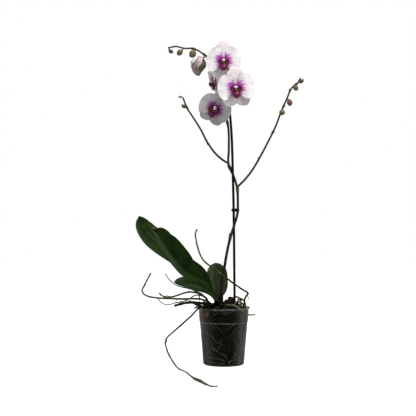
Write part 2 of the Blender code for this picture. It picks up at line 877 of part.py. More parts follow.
def flower_frame(centre, facing, roll, size):
    """Turns a flower's own directions (right, up, forward) into the object's frame."""
    forward = Vector(facing).normalized()
    right = Vector((0, 0, 1)).cross(forward).normalized()
    upright = forward.cross(right)
    turn = Matrix.Rotation(math.radians(-roll), 4, "Z")
    frame = Matrix((right, upright, forward)).transposed().to_4x4()
    return Matrix.Translation(Vector(centre)) @ frame @ turn @ Matrix.Scale(size, 4)


def tepal_rows(frame, part):
    """Rows of points over one petal-like part, from its claw to its tip."""
    bearing, length, half_width, offset, bow, tip_bend = TEPALS[part]
    shape = PETAL_SHAPE if part.endswith("petal") else SEPAL_SHAPE
    turned_frame = frame @ Matrix.Rotation(math.radians(bearing - 90), 4, "Z")
    normal = (frame.to_3x3() @ Vector((0, 0, 1))).normalized()
    rows = []
    for row in range(TEPAL_ROWS + 1):
        u = row / TEPAL_ROWS
        width = half_width * eased(shape, u)
        across = []
        for column in range(TEPAL_COLUMNS + 1):
            v = 2 * column / TEPAL_COLUMNS - 1
            forward = offset + bow * math.sin(math.pi * u) + tip_bend * u * u
            local = Vector((v * width, TEPAL_BASE_RADIUS + u * length, forward))
            across.append((turned_frame @ local, normal, 1.0))
        rows.append(across)
    return rows


def lip_rows(frame):
    normal_of_row = Vector((0, 0.5, 0.87))
    rows = []
    for up, forward, half_width, rise in LIP_ROWS:
        across = []
        for column in range(LIP_COLUMNS + 1):
            v = 2 * column / LIP_COLUMNS - 1
            local = Vector((v * half_width, up + rise * v * v, forward))
            across.append((frame @ local, (frame.to_3x3() @ normal_of_row).normalized(), 1.0))
        rows.append(across)
    return rows


def make_flower(name, finishes):
    frame = flower_frame(*FLOWERS[name])
    for part in TEPALS:
        sheet(f"{name}_{part}", tepal_rows(frame, part), TEPAL_THICKNESS, finishes["petal_white"])
    sheet(f"{name}_lip", lip_rows(frame), LIP_THICKNESS, finishes["lip_maroon"])


def make_side_flower(finishes):
    """The fourth flower is seen edge on: its petals, sepals and the seat that joins them are one solid."""
    frame = flower_frame(*SIDE_FLOWER)
    seat_points = [frame @ Vector(point) for point in SIDE_SEAT_ROUTE]
    seat = skin("side_flower", tube_rings(seat_points, SIDE_SEAT_RADII, 8), finishes["petal_white"])
    parts = []
    for part in TEPALS:
        tool = sheet(f"side_flower_{part}", tepal_rows(frame, part), TEPAL_THICKNESS, finishes["petal_white"])
        tool.hide_render = True
        tool.display_type = "WIRE"
        parts.append(tool)
    shaped(seat, "UNION", parts)
    lower = frame @ Matrix.Translation(SIDE_LIP_PLACE)
    sheet("side_flower_lip", lip_rows(lower), LIP_THICKNESS, finishes["lip_maroon"])


def make_spike(finish):
    """The main stem, with the stalk of every flower and the columns of the open ones grown on it."""
    spike = tapered_tube("flower_spike", *STEMS["flower_spike"], finish, 8, STEM_STEPS)
    grown = []
    for name, route in PEDICELS.items():
        grown.append(tapered_tube(f"stalk_{name}", route, 0.0015, 0.0019, finish, 6, 2, 0.0, True))
    for name, place in FLOWERS.items():
        frame = flower_frame(*place)
        points = [frame @ Vector(point) for point in COLUMN_ROUTE]
        radii = [COLUMN_RADIUS * share for share in COLUMN_SHARES]
        grown.append(skin(f"column_{name}", tube_rings(points, radii, 8), finish, True))
    return shaped(spike, "UNION", grown)


def bud_radius(along, greatest):
    """A bud's radius along its route: a thin stalk, a neck, a swelling and a blunt tip."""
    neck = BUD_NECK_SHARE * greatest
    if along < BUD_NECK:
        flare = max(0.0, along / BUD_NECK - 0.6) / 0.4
        return PEDICEL_RADIUS + (neck - PEDICEL_RADIUS) * flare
    if along < BUD_WIDEST:
        swell = math.sin(0.5 * math.pi * (along - BUD_NECK) / (BUD_WIDEST - BUD_NECK))
        return neck + (greatest - neck) * swell
    close = math.cos(0.5 * math.pi * (along - BUD_WIDEST) / (1 - BUD_WIDEST))
    return greatest * max(BUD_TIP_SHARE, close**0.6)


def make_bud(name, finish, stem_spaces):
    stem, route, greatest = BUDS[name]
    points = smooth_route(route, 3)
    radii = [bud_radius(along, greatest) for along in distances(points)]
    bud = skin(name, tube_rings(points, radii, 8), finish)
    return shaped(bud, "DIFFERENCE", [stem_spaces[stem]])


def make_chip(name, finish, grow=0.0):
    """A chip of bark: a block with its corners knocked off, or the space that it takes in the filling."""
    middle, size, turn = CHIPS[name]
    size = [side + 2 * grow for side in size]
    angles = [math.radians(value) for value in turn]
    frame = Matrix.Translation(Vector(middle)) @ Matrix.Rotation(angles[2], 4, "Z")
    frame = frame @ Matrix.Rotation(angles[1], 4, "Y") @ Matrix.Rotation(angles[0], 4, "X")
    rings = []
    for level, reach in CHIP_LEVELS:
        ring = []
        for i in range(8):
            angle = 2 * math.pi * (i + 0.5) / 8
            wobble = 1 + 0.10 * math.sin(3 * angle + 5 * level)
            x = 0.54 * size[0] * reach * wobble * math.cos(angle)
            y = 0.54 * size[1] * reach * wobble * math.sin(angle)
            ring.append(frame @ Vector((x, y, level * size[2])))
        rings.append(ring)
    return skin(f"{name}_cutter" if grow else name, rings, finish, bool(grow))


def wall_root(name, finish, grow=0.0):
    """A root that runs round the inside of the pot's wall."""
    stations, radius = WALL_ROOTS[name]
    route = []
    for bearing, height in stations:
        reach = pot_radius(height) - POT_WALL - WALL_ROOT_SPACE - radius
        angle = math.radians(bearing)
        route.append((reach * math.cos(angle), reach * math.sin(angle), height))
    label = f"{name}_cutter" if grow else name
    return tapered_tube(label, route, radius, 0.8 * radius, finish, 6, 2, grow, bool(grow))


def root_finish(name, finishes):
    if name == "root_thick_green":
        return finishes["root_green"]
    if name in ("root_long_left", "root_thin_loop"):
        return finishes["root_brown"]
    return finishes["root_grey"]


def main():
    clear_scene()
    finishes = make_finishes()
    green = finishes["stem_green"]
    black = finishes["black_plastic"]
    make_pot(finishes["clear_plastic"])
    tapered_tube("stake", STAKE_ROUTE, STAKE_RADIUS, STAKE_RADIUS, black, 8, 3)
    make_crown(green)
    make_spike(green)
    crown_space = make_crown(green, GAP)
    stake_space = tapered_tube(
        "stake_cutter", STAKE_ROUTE, STAKE_RADIUS, STAKE_RADIUS, black, 8, 3, GAP, True
    )
    stem_spaces = {}
    for name, (route, start_radius, end_radius) in STEMS.items():
        stem_spaces[name] = tapered_tube(
            f"{name}_cutter", route, start_radius, end_radius, green, 8, STEM_STEPS, GAP, True
        )
    for name in ("left_branch", "right_branch"):
        branch = tapered_tube(name, *STEMS[name], green, 8, STEM_STEPS)
        shaped(branch, "DIFFERENCE", [stem_spaces["flower_spike"]])
    make_clip(black, [stake_space, stem_spaces["flower_spike"]])

    spaces = [stake_space, stem_spaces["flower_spike"], crown_space]
    for name, (route, start_radius, end_radius) in ROOTS.items():
        finish = root_finish(name, finishes)
        tapered_tube(name, route, start_radius, end_radius, finish)
        spaces.append(
            tapered_tube(f"{name}_cutter", route, start_radius, end_radius, finish, 6, 1, GAP, True)
        )
    for name in WALL_ROOTS:
        wall_root(name, finishes["root_grey"])
        spaces.append(wall_root(name, finishes["root_grey"], 2 * GAP))
    for name in CHIPS:
        finish = finishes["red_bark" if name == "bark_chip_red" else "bark"]
        make_chip(name, finish)
        spaces.append(make_chip(name, finish, 2 * GAP))
    make_bark(finishes["bark"], spaces)

    for name in LEAVES:
        shaped(make_leaf(name, finishes["leaf_green"]), "DIFFERENCE", [crown_space])
    make_scrap(finishes["dry_leaf"])
    for name in BUDS:
        make_bud(name, finishes["bud_olive"], stem_spaces)
    opening_points = [Vector(point) for point in OPENING_BUD_ROUTE]
    skin("opening_bud", tube_rings(opening_points, OPENING_BUD_RADII, 10), finishes["petal_white"])
    for name in FLOWERS:
        make_flower(name, finishes)
    make_side_flower(finishes)


main()
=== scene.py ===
"""Potted moth orchid: the finished pieces and the studio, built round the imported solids.

Metres, +Z up, the flowers facing -Y. Each piece follows the same route and sizes as the solid that it
stands for, with the finer shape of the real plant. The file is laid out as an add-on and run as a script.
"""

import math
import random

import bmesh
import bpy
from bpy.props import FloatProperty, FloatVectorProperty, IntProperty, PointerProperty
from mathutils import Matrix, Vector, noise


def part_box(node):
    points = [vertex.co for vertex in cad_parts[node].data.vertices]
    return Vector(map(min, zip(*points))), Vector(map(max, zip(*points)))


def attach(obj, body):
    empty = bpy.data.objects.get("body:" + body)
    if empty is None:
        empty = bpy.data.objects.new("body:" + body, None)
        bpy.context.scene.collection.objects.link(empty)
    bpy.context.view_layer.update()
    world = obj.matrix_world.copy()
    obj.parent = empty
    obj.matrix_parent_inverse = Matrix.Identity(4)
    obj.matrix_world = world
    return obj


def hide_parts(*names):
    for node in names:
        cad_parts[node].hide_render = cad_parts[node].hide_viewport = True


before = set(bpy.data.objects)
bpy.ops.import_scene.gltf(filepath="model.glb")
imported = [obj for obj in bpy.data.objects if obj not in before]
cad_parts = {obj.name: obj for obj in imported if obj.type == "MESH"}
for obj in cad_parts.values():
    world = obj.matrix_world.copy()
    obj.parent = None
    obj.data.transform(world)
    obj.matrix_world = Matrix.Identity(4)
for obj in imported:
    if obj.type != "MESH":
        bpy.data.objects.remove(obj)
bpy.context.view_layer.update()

bl_info = {
    "name": "Potted Orchid",
    "version": (1, 0, 0),
    "blender": (4, 5, 0),
    "location": "3D View > Sidebar > Orchid",
    "description": "Builds a potted moth orchid: pot, roots, leaves, stems, buds and flowers",
    "category": "Add Mesh",
}

# Pot: a thin clear shell with a flat foot, a step part of the way up and a flanged rim.
POT_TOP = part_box("pot")[1]
POT_HEIGHT = POT_TOP.z
POT_FLANGE_RADIUS = POT_TOP.x
POT_FOOT_RADIUS = 0.0465
POT_STEP_HEIGHT = 0.095
POT_STEP_RADIUS = 0.0540
POT_RIM_RADIUS = 0.0570
POT_FLANGE_HEIGHT = 0.0035
POT_WALL = 0.0012
DRAIN_HOLES = 6
DRAIN_RADIUS = 0.0045
DRAIN_RING_RADIUS = 0.030

# Growing medium: its edge against the wall, and the low mound round the crown.
BARK_EDGE_HEIGHT = 0.119
BARK_TOP_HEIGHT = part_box("bark_mix")[1].z

STAKE_RADIUS = 0.0029
STAKE_ROUTE = [
    (0.0255, 0.0, 0.025), (0.0245, 0.0, 0.153), (0.021, 0.0, 0.416), (0.017, 0.0, 0.531),
    (0.011, 0.0, 0.599),
]

CROWN_ROUTE = [
    (-0.014, 0.004, 0.104), (-0.014, 0.004, 0.118), (-0.014, 0.004, 0.132), (-0.014, 0.004, 0.146),
    (-0.013, 0.004, 0.157),
]
CROWN_RADII = [0.006, 0.0085, 0.009, 0.008, 0.0045]

SPIKE_BASE_RADIUS = 0.0034
SPIKE_TIP_RADIUS = 0.0018
SPIKE_ROUTE = [
    (-0.0075, -0.0085, 0.124), (-0.0045, -0.008, 0.14), (-0.004, -0.005, 0.168), (0.001, -0.005, 0.213),
    (0.007, -0.0055, 0.251), (0.016, -0.006, 0.29), (0.023, -0.006, 0.312), (0.031, -0.0035, 0.34),
    (0.032, 0.0, 0.365), (0.03, 0.0045, 0.4), (0.023, 0.0055, 0.424), (0.016, 0.004, 0.439),
    (0.011, 0.0, 0.453), (0.0115, -0.002, 0.484), (0.0105, -0.004, 0.531), (0.0065, -0.005, 0.56),
    (0.006, -0.005, 0.595), (0.006, -0.005, 0.63), (0.001, -0.005, 0.658), (-0.017, -0.005, 0.681),
    (-0.04, -0.005, 0.696), (-0.06, -0.006, 0.709), (-0.069, -0.006, 0.7125), (-0.088, -0.008, 0.7125),
    (-0.108, -0.01, 0.7165), (-0.125, -0.012, 0.713),
]

BRANCH_BASE_RADIUS = 0.0025
BRANCH_TIP_RADIUS = 0.0019
LEFT_BRANCH_ROUTE = [
    (0.011, -0.0002, 0.454), (0.003, -0.003, 0.458), (-0.02, -0.01, 0.477), (-0.036, -0.014, 0.499),
    (-0.053, -0.018, 0.531), (-0.071, -0.022, 0.559), (-0.082, -0.024, 0.576), (-0.088, -0.025, 0.59),
    (-0.091, -0.026, 0.5985),
]
RIGHT_BRANCH_ROUTE = [
    (0.0302, 0.0043, 0.4), (0.044, 0.003, 0.413), (0.06, 0.008, 0.432), (0.083, 0.014, 0.469),
    (0.101, 0.018, 0.503), (0.12, 0.022, 0.542), (0.131, 0.024, 0.571), (0.145, 0.026, 0.603),
    (0.156, 0.028, 0.627), (0.163, 0.028, 0.634), (0.171, 0.029, 0.641), (0.176, 0.03, 0.65),
]

STEMS = {
    "flower_spike": (SPIKE_ROUTE, SPIKE_BASE_RADIUS, SPIKE_TIP_RADIUS),
    "left_branch": (LEFT_BRANCH_ROUTE, BRANCH_BASE_RADIUS, BRANCH_TIP_RADIUS),
    "right_branch": (RIGHT_BRANCH_ROUTE, BRANCH_BASE_RADIUS, BRANCH_TIP_RADIUS),
}
# Places of the joints along each stem, from 0 at its foot to 1 at its tip.
STEM_JOINTS = {
    "flower_spike": [0.085, 0.235, 0.395, 0.47, 0.62, 0.655, 0.72, 0.808, 0.873, 0.915],
    "left_branch": [0.36, 0.86],
    "right_branch": [0.27, 0.52, 0.74, 0.87, 0.94],
}

CLIP_HEIGHT = 0.0075
CLIP_MIDDLE_HEIGHT = 0.348
CLIP_STAKE_POINT = (0.0222, 0.0)
CLIP_STEM_POINT = (0.0316, -0.0028)
CLIP_BAND = 0.0036

# Leaves: midrib route, half width, thickness, fold, and the way the upper side faces at each end.
LEAVES = {
    "leaf_rear": (
        [
            (-0.019, 0.007, 0.142), (-0.029, 0.013, 0.157), (-0.05, 0.023, 0.184),
            (-0.09, 0.036, 0.222), (-0.131, 0.05, 0.256), (-0.162, 0.06, 0.28), (-0.186, 0.066, 0.31),
            (-0.196, 0.069, 0.334),
        ],
        0.03, 0.0022, 0.18, (0.55, -0.35, 0.76), (0.25, -0.9, 0.36),
    ),
    "leaf_front": (
        [
            (-0.019, 0.002, 0.152), (-0.03, -0.003, 0.162), (-0.0425, -0.015, 0.1765),
            (-0.0685, -0.034, 0.1985), (-0.093, -0.046, 0.216), (-0.106, -0.052, 0.233),
            (-0.124, -0.057, 0.259), (-0.136, -0.061, 0.276), (-0.147, -0.065, 0.296),
            (-0.157, -0.068, 0.303),
        ],
        0.0285, 0.0024, 0.72, (0.48, -0.55, 0.68), (0.43, -0.85, 0.3),
    ),
    "leaf_low": (
        [
            (-0.015, -0.002, 0.143), (-0.0165, -0.0185, 0.1475), (-0.028, -0.048, 0.162),
            (-0.052, -0.075, 0.18), (-0.079, -0.092, 0.1885), (-0.109, -0.102, 0.193),
        ],
        0.0195, 0.0024, 0.25, (0.4, -0.6, 0.7), (0.1, -0.72, 0.68),
    ),
    "leaf_back": (
        [
            (-0.013, 0.009, 0.146), (-0.012, 0.019, 0.158), (-0.013, 0.029, 0.176), (-0.015, 0.04, 0.2),
            (-0.019, 0.05, 0.226),
        ],
        0.0235, 0.0022, 0.22, (0.15, -0.75, 0.64), (0.0, -0.8, 0.6),
    ),
}
LEAF_SHAPE = [
    (0.0, 0.22), (0.06, 0.32), (0.18, 0.68), (0.34, 0.93), (0.54, 1.0), (0.76, 0.96), (0.88, 0.76),
    (0.96, 0.42), (1.0, 0.03),
]
LEAF_FINISHES = {
    "leaf_rear": "leaf_scarred",
    # leaf_front's finish carries a painted sheen down its folded half.
    "leaf_front": "leaf_painted_sheen",
    "leaf_low": "leaf_plain",
    "leaf_back": "leaf_yellowed",
}
LEAF_ROWS = 72
LEAF_COLUMNS = 24

SCRAP_POINTS = [
    (-0.034, -0.041, 0.1302), (-0.037, -0.048, 0.1306), (-0.039, -0.0505, 0.124),
    (-0.041, -0.051, 0.112),
]
SCRAP_SIDE = (0.0062, -0.0045, 0.0)

# Pale old roots that loop over the right of the rim: route, and radius at each end.
RIM_LOOPS = [
    (
        [(0.03, 0.0, 0.125), (0.036, -0.006, 0.149), (0.046, -0.002, 0.143), (0.05, 0.004, 0.128)],
        0.0022, 0.0018,
    ),
    (
        [(0.022, -0.012, 0.128), (0.03, -0.018, 0.143), (0.041, -0.016, 0.139), (0.049, -0.01, 0.124)],
        0.0022, 0.0018,
    ),
    ([(0.018, 0.006, 0.13), (0.025, 0.0, 0.152), (0.034, 0.003, 0.15), (0.04, 0.01, 0.128)], 0.0026, 0.002),
]

# Roots: route, radius where it starts and radius at its tip. Each starts inside the medium.
ROOTS = {
    "root_long_left": (
        [
            (-0.026, -0.018, 0.129), (-0.032, -0.023, 0.141), (-0.048, -0.027, 0.148),
            (-0.076, -0.029, 0.15), (-0.102, -0.03, 0.15), (-0.126, -0.03, 0.151),
            (-0.15, -0.03, 0.152), (-0.169, -0.03, 0.156), (-0.179, -0.03, 0.161),
            (-0.1825, -0.03, 0.168), (-0.178, -0.03, 0.178), (-0.174, -0.03, 0.187),
            (-0.1685, -0.03, 0.198), (-0.164, -0.03, 0.207),
        ],
        0.0024, 0.0018,
    ),
    "root_mid_left": (
        [
            (-0.033, -0.01, 0.129), (-0.037, -0.012, 0.146), (-0.053, -0.02, 0.16),
            (-0.077, -0.028, 0.165), (-0.09, -0.034, 0.163), (-0.105, -0.038, 0.158),
            (-0.12, -0.039, 0.1545), (-0.132, -0.039, 0.155), (-0.139, -0.039, 0.1585),
            (-0.143, -0.039, 0.163),
        ],
        0.0026, 0.0018,
    ),
    "root_thin_loop": (
        [
            (-0.036, -0.002, 0.129), (-0.042, -0.006, 0.15), (-0.06, -0.015, 0.157),
            (-0.085, -0.0205, 0.1455), (-0.107, -0.023, 0.141), (-0.12, -0.023, 0.137),
            (-0.129, -0.023, 0.136), (-0.142, -0.023, 0.143), (-0.147, -0.023, 0.149),
        ],
        0.0015, 0.0011,
    ),
    "root_thick_green": (
        [
            (-0.021, -0.025, 0.128), (-0.027, -0.03, 0.1365), (-0.04, -0.034, 0.14),
            (-0.058, -0.037, 0.1415), (-0.069, -0.038, 0.1425), (-0.088, -0.039, 0.1415),
            (-0.108, -0.039, 0.136),
        ],
        0.0036, 0.003,
    ),
    "root_grey_twig": (
        [
            (-0.032, 0.01, 0.128), (-0.04, 0.011, 0.148), (-0.062, 0.008, 0.164), (-0.086, 0.0, 0.172),
            (-0.104, -0.006, 0.177), (-0.116, -0.009, 0.185), (-0.124, -0.01, 0.193),
            (-0.131, -0.01, 0.204),
        ],
        0.0016, 0.0011,
    ),
    "root_trailing": (
        [
            (-0.029, -0.03, 0.127), (-0.035, -0.0365, 0.1345), (-0.045, -0.044, 0.136),
            (-0.056, -0.05, 0.131), (-0.07, -0.055, 0.117), (-0.097, -0.062, 0.093),
            (-0.117, -0.066, 0.076), (-0.127, -0.068, 0.066), (-0.129, -0.069, 0.056),
            (-0.126, -0.07, 0.043), (-0.119, -0.072, 0.027), (-0.108, -0.079, 0.011),
            (-0.098, -0.093, 0.0037), (-0.087, -0.121, 0.0036), (-0.078, -0.157, 0.004),
            (-0.066, -0.212, 0.0045), (-0.048, -0.26, 0.0042), (-0.037, -0.286, 0.003),
            (-0.027, -0.3, 0.0022), (-0.017, -0.296, 0.0018),
        ],
        0.0021, 0.0015,
    ),
    "root_long_right": (
        [
            (0.0475, -0.006, 0.112), (0.047, -0.009, 0.128), (0.0465, -0.012, 0.14),
            (0.047, -0.016, 0.149), (0.051, -0.019, 0.156), (0.054, -0.022, 0.1605),
            (0.052, -0.024, 0.164), (0.046, -0.026, 0.168), (0.032, -0.028, 0.177),
            (0.021, -0.029, 0.1845), (0.01, -0.03, 0.193), (-0.003, -0.031, 0.202),
            (-0.022, -0.03, 0.218), (-0.037, -0.026, 0.228), (-0.047, -0.019, 0.237),
            (-0.056, -0.014, 0.256), (-0.062, -0.012, 0.278), (-0.063, -0.012, 0.297),
            (-0.06, -0.012, 0.304),
        ],
        0.0024, 0.0016,
    ),
    "root_over_rim": (
        [
            (0.002, -0.024, 0.124), (0.0065, -0.03, 0.1345), (0.016, -0.04, 0.1365),
            (0.025, -0.049, 0.1355), (0.035, -0.0575, 0.13), (0.046, -0.053, 0.121),
            (0.055, -0.04, 0.1155), (0.069, -0.026, 0.114),
        ],
        0.0022, 0.0017,
    ),
    "root_pale_hook": (
        [
            (0.023, -0.02, 0.122), (0.0255, -0.02, 0.14), (0.032, -0.02, 0.144), (0.038, -0.022, 0.138),
            (0.04, -0.024, 0.129), (0.04, -0.025, 0.116),
        ],
        0.0016, 0.0014,
    ),
    "root_pale_arch": (
        [
            (0.036, 0.01, 0.12), (0.039, 0.008, 0.142), (0.042, 0.006, 0.147), (0.046, 0.004, 0.143),
            (0.048, 0.002, 0.133), (0.048, 0.001, 0.12),
        ],
        0.0015, 0.0013,
    ),
}
# Where a root swells: share of its length, width of the swelling and how much thicker it gets.
SWELLINGS = {"root_trailing": (0.84, 0.09, 1.3)}
# Small side roots: place on the root, the way they start, length and radius.
ROOTLETS = {
    "root_long_left": [
        ((-0.126, -0.03, 0.151), (-0.7, 0.1, 0.9), 0.012, 0.001),
        ((-0.102, -0.03, 0.15), (-0.6, -0.5, -0.5), 0.01, 0.0009),
        ((-0.15, -0.03, 0.152), (-0.9, 0.3, 0.5), 0.008, 0.0009),
    ],
    "root_mid_left": [
        ((-0.077, -0.028, 0.165), (-0.4, -0.2, 0.8), 0.009, 0.0009),
        ((-0.053, -0.02, 0.16), (-0.2, -0.5, -0.9), 0.017, 0.0011),
        ((-0.12, -0.039, 0.1545), (-0.8, -0.2, 0.6), 0.013, 0.001),
    ],
    "root_thick_green": [
        ((-0.058, -0.037, 0.1415), (-0.5, -0.2, -0.8), 0.011, 0.0012),
        ((-0.069, -0.038, 0.1425), (-0.9, -0.3, 0.8), 0.012, 0.0011),
    ],
    "root_trailing": [((-0.127, -0.068, 0.066), (0.3, -0.4, -0.8), 0.008, 0.0009)],
    "root_long_right": [((0.052, -0.02, 0.158), (0.5, -0.2, -0.8), 0.01, 0.001)],
}
# Dead stubs of old roots over the left of the rim, and a short root under the leaves.
RIM_STUBS = [
    (
        [
            (-0.044, -0.026, 0.13), (-0.052, -0.031, 0.1345), (-0.06, -0.034, 0.137),
            (-0.068, -0.036, 0.1405),
        ],
        0.0028, 0.002,
    ),
    (
        [
            (-0.043, -0.029, 0.128), (-0.051, -0.035, 0.1325), (-0.059, -0.039, 0.1325),
            (-0.065, -0.04, 0.13),
        ],
        0.0024, 0.0018,
    ),
    (
        [
            (-0.04, -0.01, 0.13), (-0.0451, -0.02, 0.1441), (-0.054, -0.026, 0.1519),
            (-0.0571, -0.028, 0.1622),
        ],
        0.0016, 0.001,
    ),
    (
        [(0.03, -0.035, 0.127), (0.033, -0.038, 0.1345), (0.04, -0.037, 0.133), (0.044, -0.033, 0.127)],
        0.0017, 0.0013,
    ),
    (
        [
            (-0.005, -0.042, 0.124), (-0.008, -0.045, 0.1305), (-0.018, -0.044, 0.131),
            (-0.024, -0.04, 0.126),
        ],
        0.0016, 0.0012,
    ),
]

# Roots pressed against the inside of the clear wall: bearing in degrees and height along each.
WALL_ROOTS = {
    "wall_root_left": ([(-128, 0.046), (-113, 0.037), (-98, 0.03), (-87, 0.025), (-81, 0.017)], 0.0027),
    "wall_root_right": (
        [(-79, 0.0095), (-70, 0.012), (-62, 0.019), (-57, 0.027), (-60, 0.033)],
        0.0024,
    ),
    "wall_root_upper": (
        [(-124, 0.086), (-108, 0.088), (-92, 0.076), (-78, 0.068), (-64, 0.08), (-52, 0.092)],
        0.002,
    ),
}
EXTRA_WALL_ROOTS = [
    ([(-166, 0.033), (-146, 0.021), (-121, 0.0195), (-100, 0.0165), (-84, 0.0120)], 0.0027),
    ([(-150, 0.0130), (-128, 0.0095), (-104, 0.0080), (-84, 0.0065)], 0.0021),
    ([(-96, 0.0620), (-104, 0.0520), (-116, 0.0600), (-126, 0.0720)], 0.0012),
    ([(-86, 0.08), (-78, 0.087), (-69, 0.0922), (-60, 0.0965)], 0.0012),
    ([(-106, 0.04), (-95, 0.0507), (-86, 0.0495)], 0.0009),
    ([(30, 0.09), (48, 0.072), (70, 0.066), (92, 0.048), (104, 0.03)], 0.002),
    ([(150, 0.025), (132, 0.033), (118, 0.029), (96, 0.015)], 0.0017),
    ([(170, 0.095), (186, 0.08), (196, 0.058), (190, 0.038)], 0.0018),
    ([(-30, 0.07), (-14, 0.056), (4, 0.058), (22, 0.042), (30, 0.02)], 0.0018),
]
WALL_ROOT_SPACE = 0.0006

# Buds: route from the stem's own line to the tip, and greatest radius.
BUDS = {
    "bud_tip": (
        [
            (-0.1225, -0.0118, 0.7138), (-0.1225, -0.0125, 0.709), (-0.118, -0.0125, 0.7045),
            (-0.1135, -0.0122, 0.703),
        ],
        0.0048,
    ),
    "bud_second": (
        [
            (-0.09, -0.0082, 0.7125), (-0.0935, -0.01, 0.7085), (-0.0985, -0.012, 0.703),
            (-0.1045, -0.013, 0.6965),
        ],
        0.0066,
    ),
    "bud_third": (
        [
            (-0.066, -0.006, 0.7115), (-0.066, -0.01, 0.707), (-0.07, -0.015, 0.699),
            (-0.076, -0.016, 0.6915),
        ],
        0.0082,
    ),
    "left_bud_end": (
        [
            (-0.0905, -0.0259, 0.597), (-0.0935, -0.0265, 0.6), (-0.0975, -0.027, 0.6012),
            (-0.102, -0.0272, 0.6005),
        ],
        0.0024,
    ),
    "left_bud_side": (
        [
            (-0.0825, -0.0241, 0.577), (-0.085, -0.0275, 0.577), (-0.09, -0.029, 0.58),
            (-0.0945, -0.0292, 0.584),
        ],
        0.004,
    ),
    "right_bud_low": (
        [
            (0.132, 0.0242, 0.5735), (0.134, 0.02, 0.5745), (0.1335, 0.016, 0.5715),
            (0.1305, 0.014, 0.564),
        ],
        0.0066,
    ),
    "right_bud_brown": (
        [
            (0.144, 0.0259, 0.601), (0.1475, 0.022, 0.6005), (0.1505, 0.019, 0.594),
            (0.1515, 0.018, 0.585),
        ],
        0.0064,
    ),
    "right_bud_high": (
        [(0.159, 0.028, 0.6303), (0.1615, 0.024, 0.6305), (0.1645, 0.021, 0.627), (0.1665, 0.02, 0.62)],
        0.0062,
    ),
    "right_bud_end": (
        [(0.171, 0.029, 0.641), (0.175, 0.0275, 0.6395), (0.179, 0.027, 0.643), (0.1825, 0.027, 0.648)],
        0.0042,
    ),
}
BUD_NECK = 0.30
BUD_NECK_SHARE = 0.45
BUD_WIDEST = 0.62
PEDICEL_RADIUS = 0.0012
BUD_FINISHES = {
    "left_bud_end": "bud_brown",
    "left_bud_side": "bud_brown",
    "right_bud_brown": "bud_pink",
    "right_bud_end": "bud_brown",
    "bud_tip": "bud_brown",
}

# Flowers: centre, the way the flower faces, clockwise roll in degrees, and size.
FLOWERS = {
    "flower_top": ((-0.001, -0.045, 0.679), (0.0, -1.0, -0.06), 0.0, 1.0),
    "flower_right": ((0.026, -0.062, 0.617), (0.02, -1.0, -0.05), -4.0, 1.06),
    "flower_low": ((-0.02, -0.03, 0.575), (-0.22, -0.93, -0.28), 30.0, 0.98),
}
SIDE_FLOWER = ((-0.0200, 0.0060, 0.6400), (-0.88, -0.36, -0.25), 0.0, 0.84)
PEDICELS = {
    "flower_top": [
        (0.002, -0.005, 0.654), (0.004, -0.018, 0.664), (0.003, -0.032, 0.676),
        (-0.001, -0.041, 0.6793),
    ],
    "flower_right": [
        (0.006, -0.005, 0.605), (0.014, -0.02, 0.615), (0.023, -0.042, 0.619), (0.0258, -0.058, 0.6172),
    ],
    "flower_low": [
        (0.0065, -0.005, 0.56), (-0.002, -0.012, 0.568), (-0.012, -0.019, 0.5755),
        (-0.0191, -0.0262, 0.5761),
    ],
    "side_flower": [
        (0.006, -0.005, 0.628), (0.002, 0.001, 0.635), (-0.006, 0.0032, 0.6365),
        (-0.0138, 0.004, 0.6345),
    ],
    "opening_bud": [
        (-0.04, -0.005, 0.696), (-0.0415, -0.008, 0.693), (-0.044, -0.011, 0.692),
        (-0.0475, -0.0145, 0.6905),
    ],
}
COLUMN_RADIUS = 0.0028
COLUMN_ROUTE = [
    (0.0, 0.0, -0.004), (0.0, 0.0002, 0.0), (0.0, 0.0012, 0.004), (0.0, 0.0012, 0.0075),
    (0.0, 0.0, 0.01),
]
COLUMN_SHARES = [1.0, 1.04, 0.95, 1.0, 0.6]
SIDE_SEAT_ROUTE = [(0.0, 0.0, -0.0052), (0.0, 0.0, -0.001), (0.0, 0.0004, 0.003), (0.0, 0.0004, 0.0085)]
SIDE_SEAT_RADII = [0.0036, 0.0046, 0.004, 0.0022]
SIDE_LIP_PLACE = (0.0, -0.0018, 0.0014)

# Petal-like parts: bearing in degrees (90 is up), length, half width, forward offset, bow and tip bend.
TEPALS = {
    "dorsal_sepal": (90.0, 0.043, 0.0165, -0.0026, 0.002, -0.005),
    "left_sepal": (238.0, 0.039, 0.0165, -0.0026, 0.001, -0.005),
    "right_sepal": (302.0, 0.039, 0.0165, -0.004, 0.001, -0.005),
    "left_petal": (174.0, 0.035, 0.026, 0.0, 0.0025, -0.001),
    "right_petal": (6.0, 0.035, 0.026, 0.0, 0.0025, -0.001),
}
SEPAL_SHAPE = [(0.0, 0.14), (0.15, 0.4), (0.4, 0.84), (0.58, 1.0), (0.76, 0.84), (0.9, 0.5), (1.0, 0.03)]
PETAL_SHAPE = [
    (0.0, 0.1), (0.12, 0.46), (0.28, 0.82), (0.5, 1.0), (0.7, 0.95), (0.86, 0.7), (0.96, 0.36),
    (1.0, 0.06),
]
# The upper half of a petal, which reaches in over the dorsal sepal.
PETAL_UPPER_SHAPE = [
    (0.0, 0.1), (0.06, 0.62), (0.16, 0.96), (0.3, 1.08), (0.5, 1.06), (0.7, 0.96), (0.86, 0.72),
    (0.96, 0.38), (1.0, 0.06),
]
TEPAL_BASE_RADIUS = 0.0034
TEPAL_THICKNESS = 0.0008
TEPAL_ROWS = 32
TEPAL_COLUMNS = 24

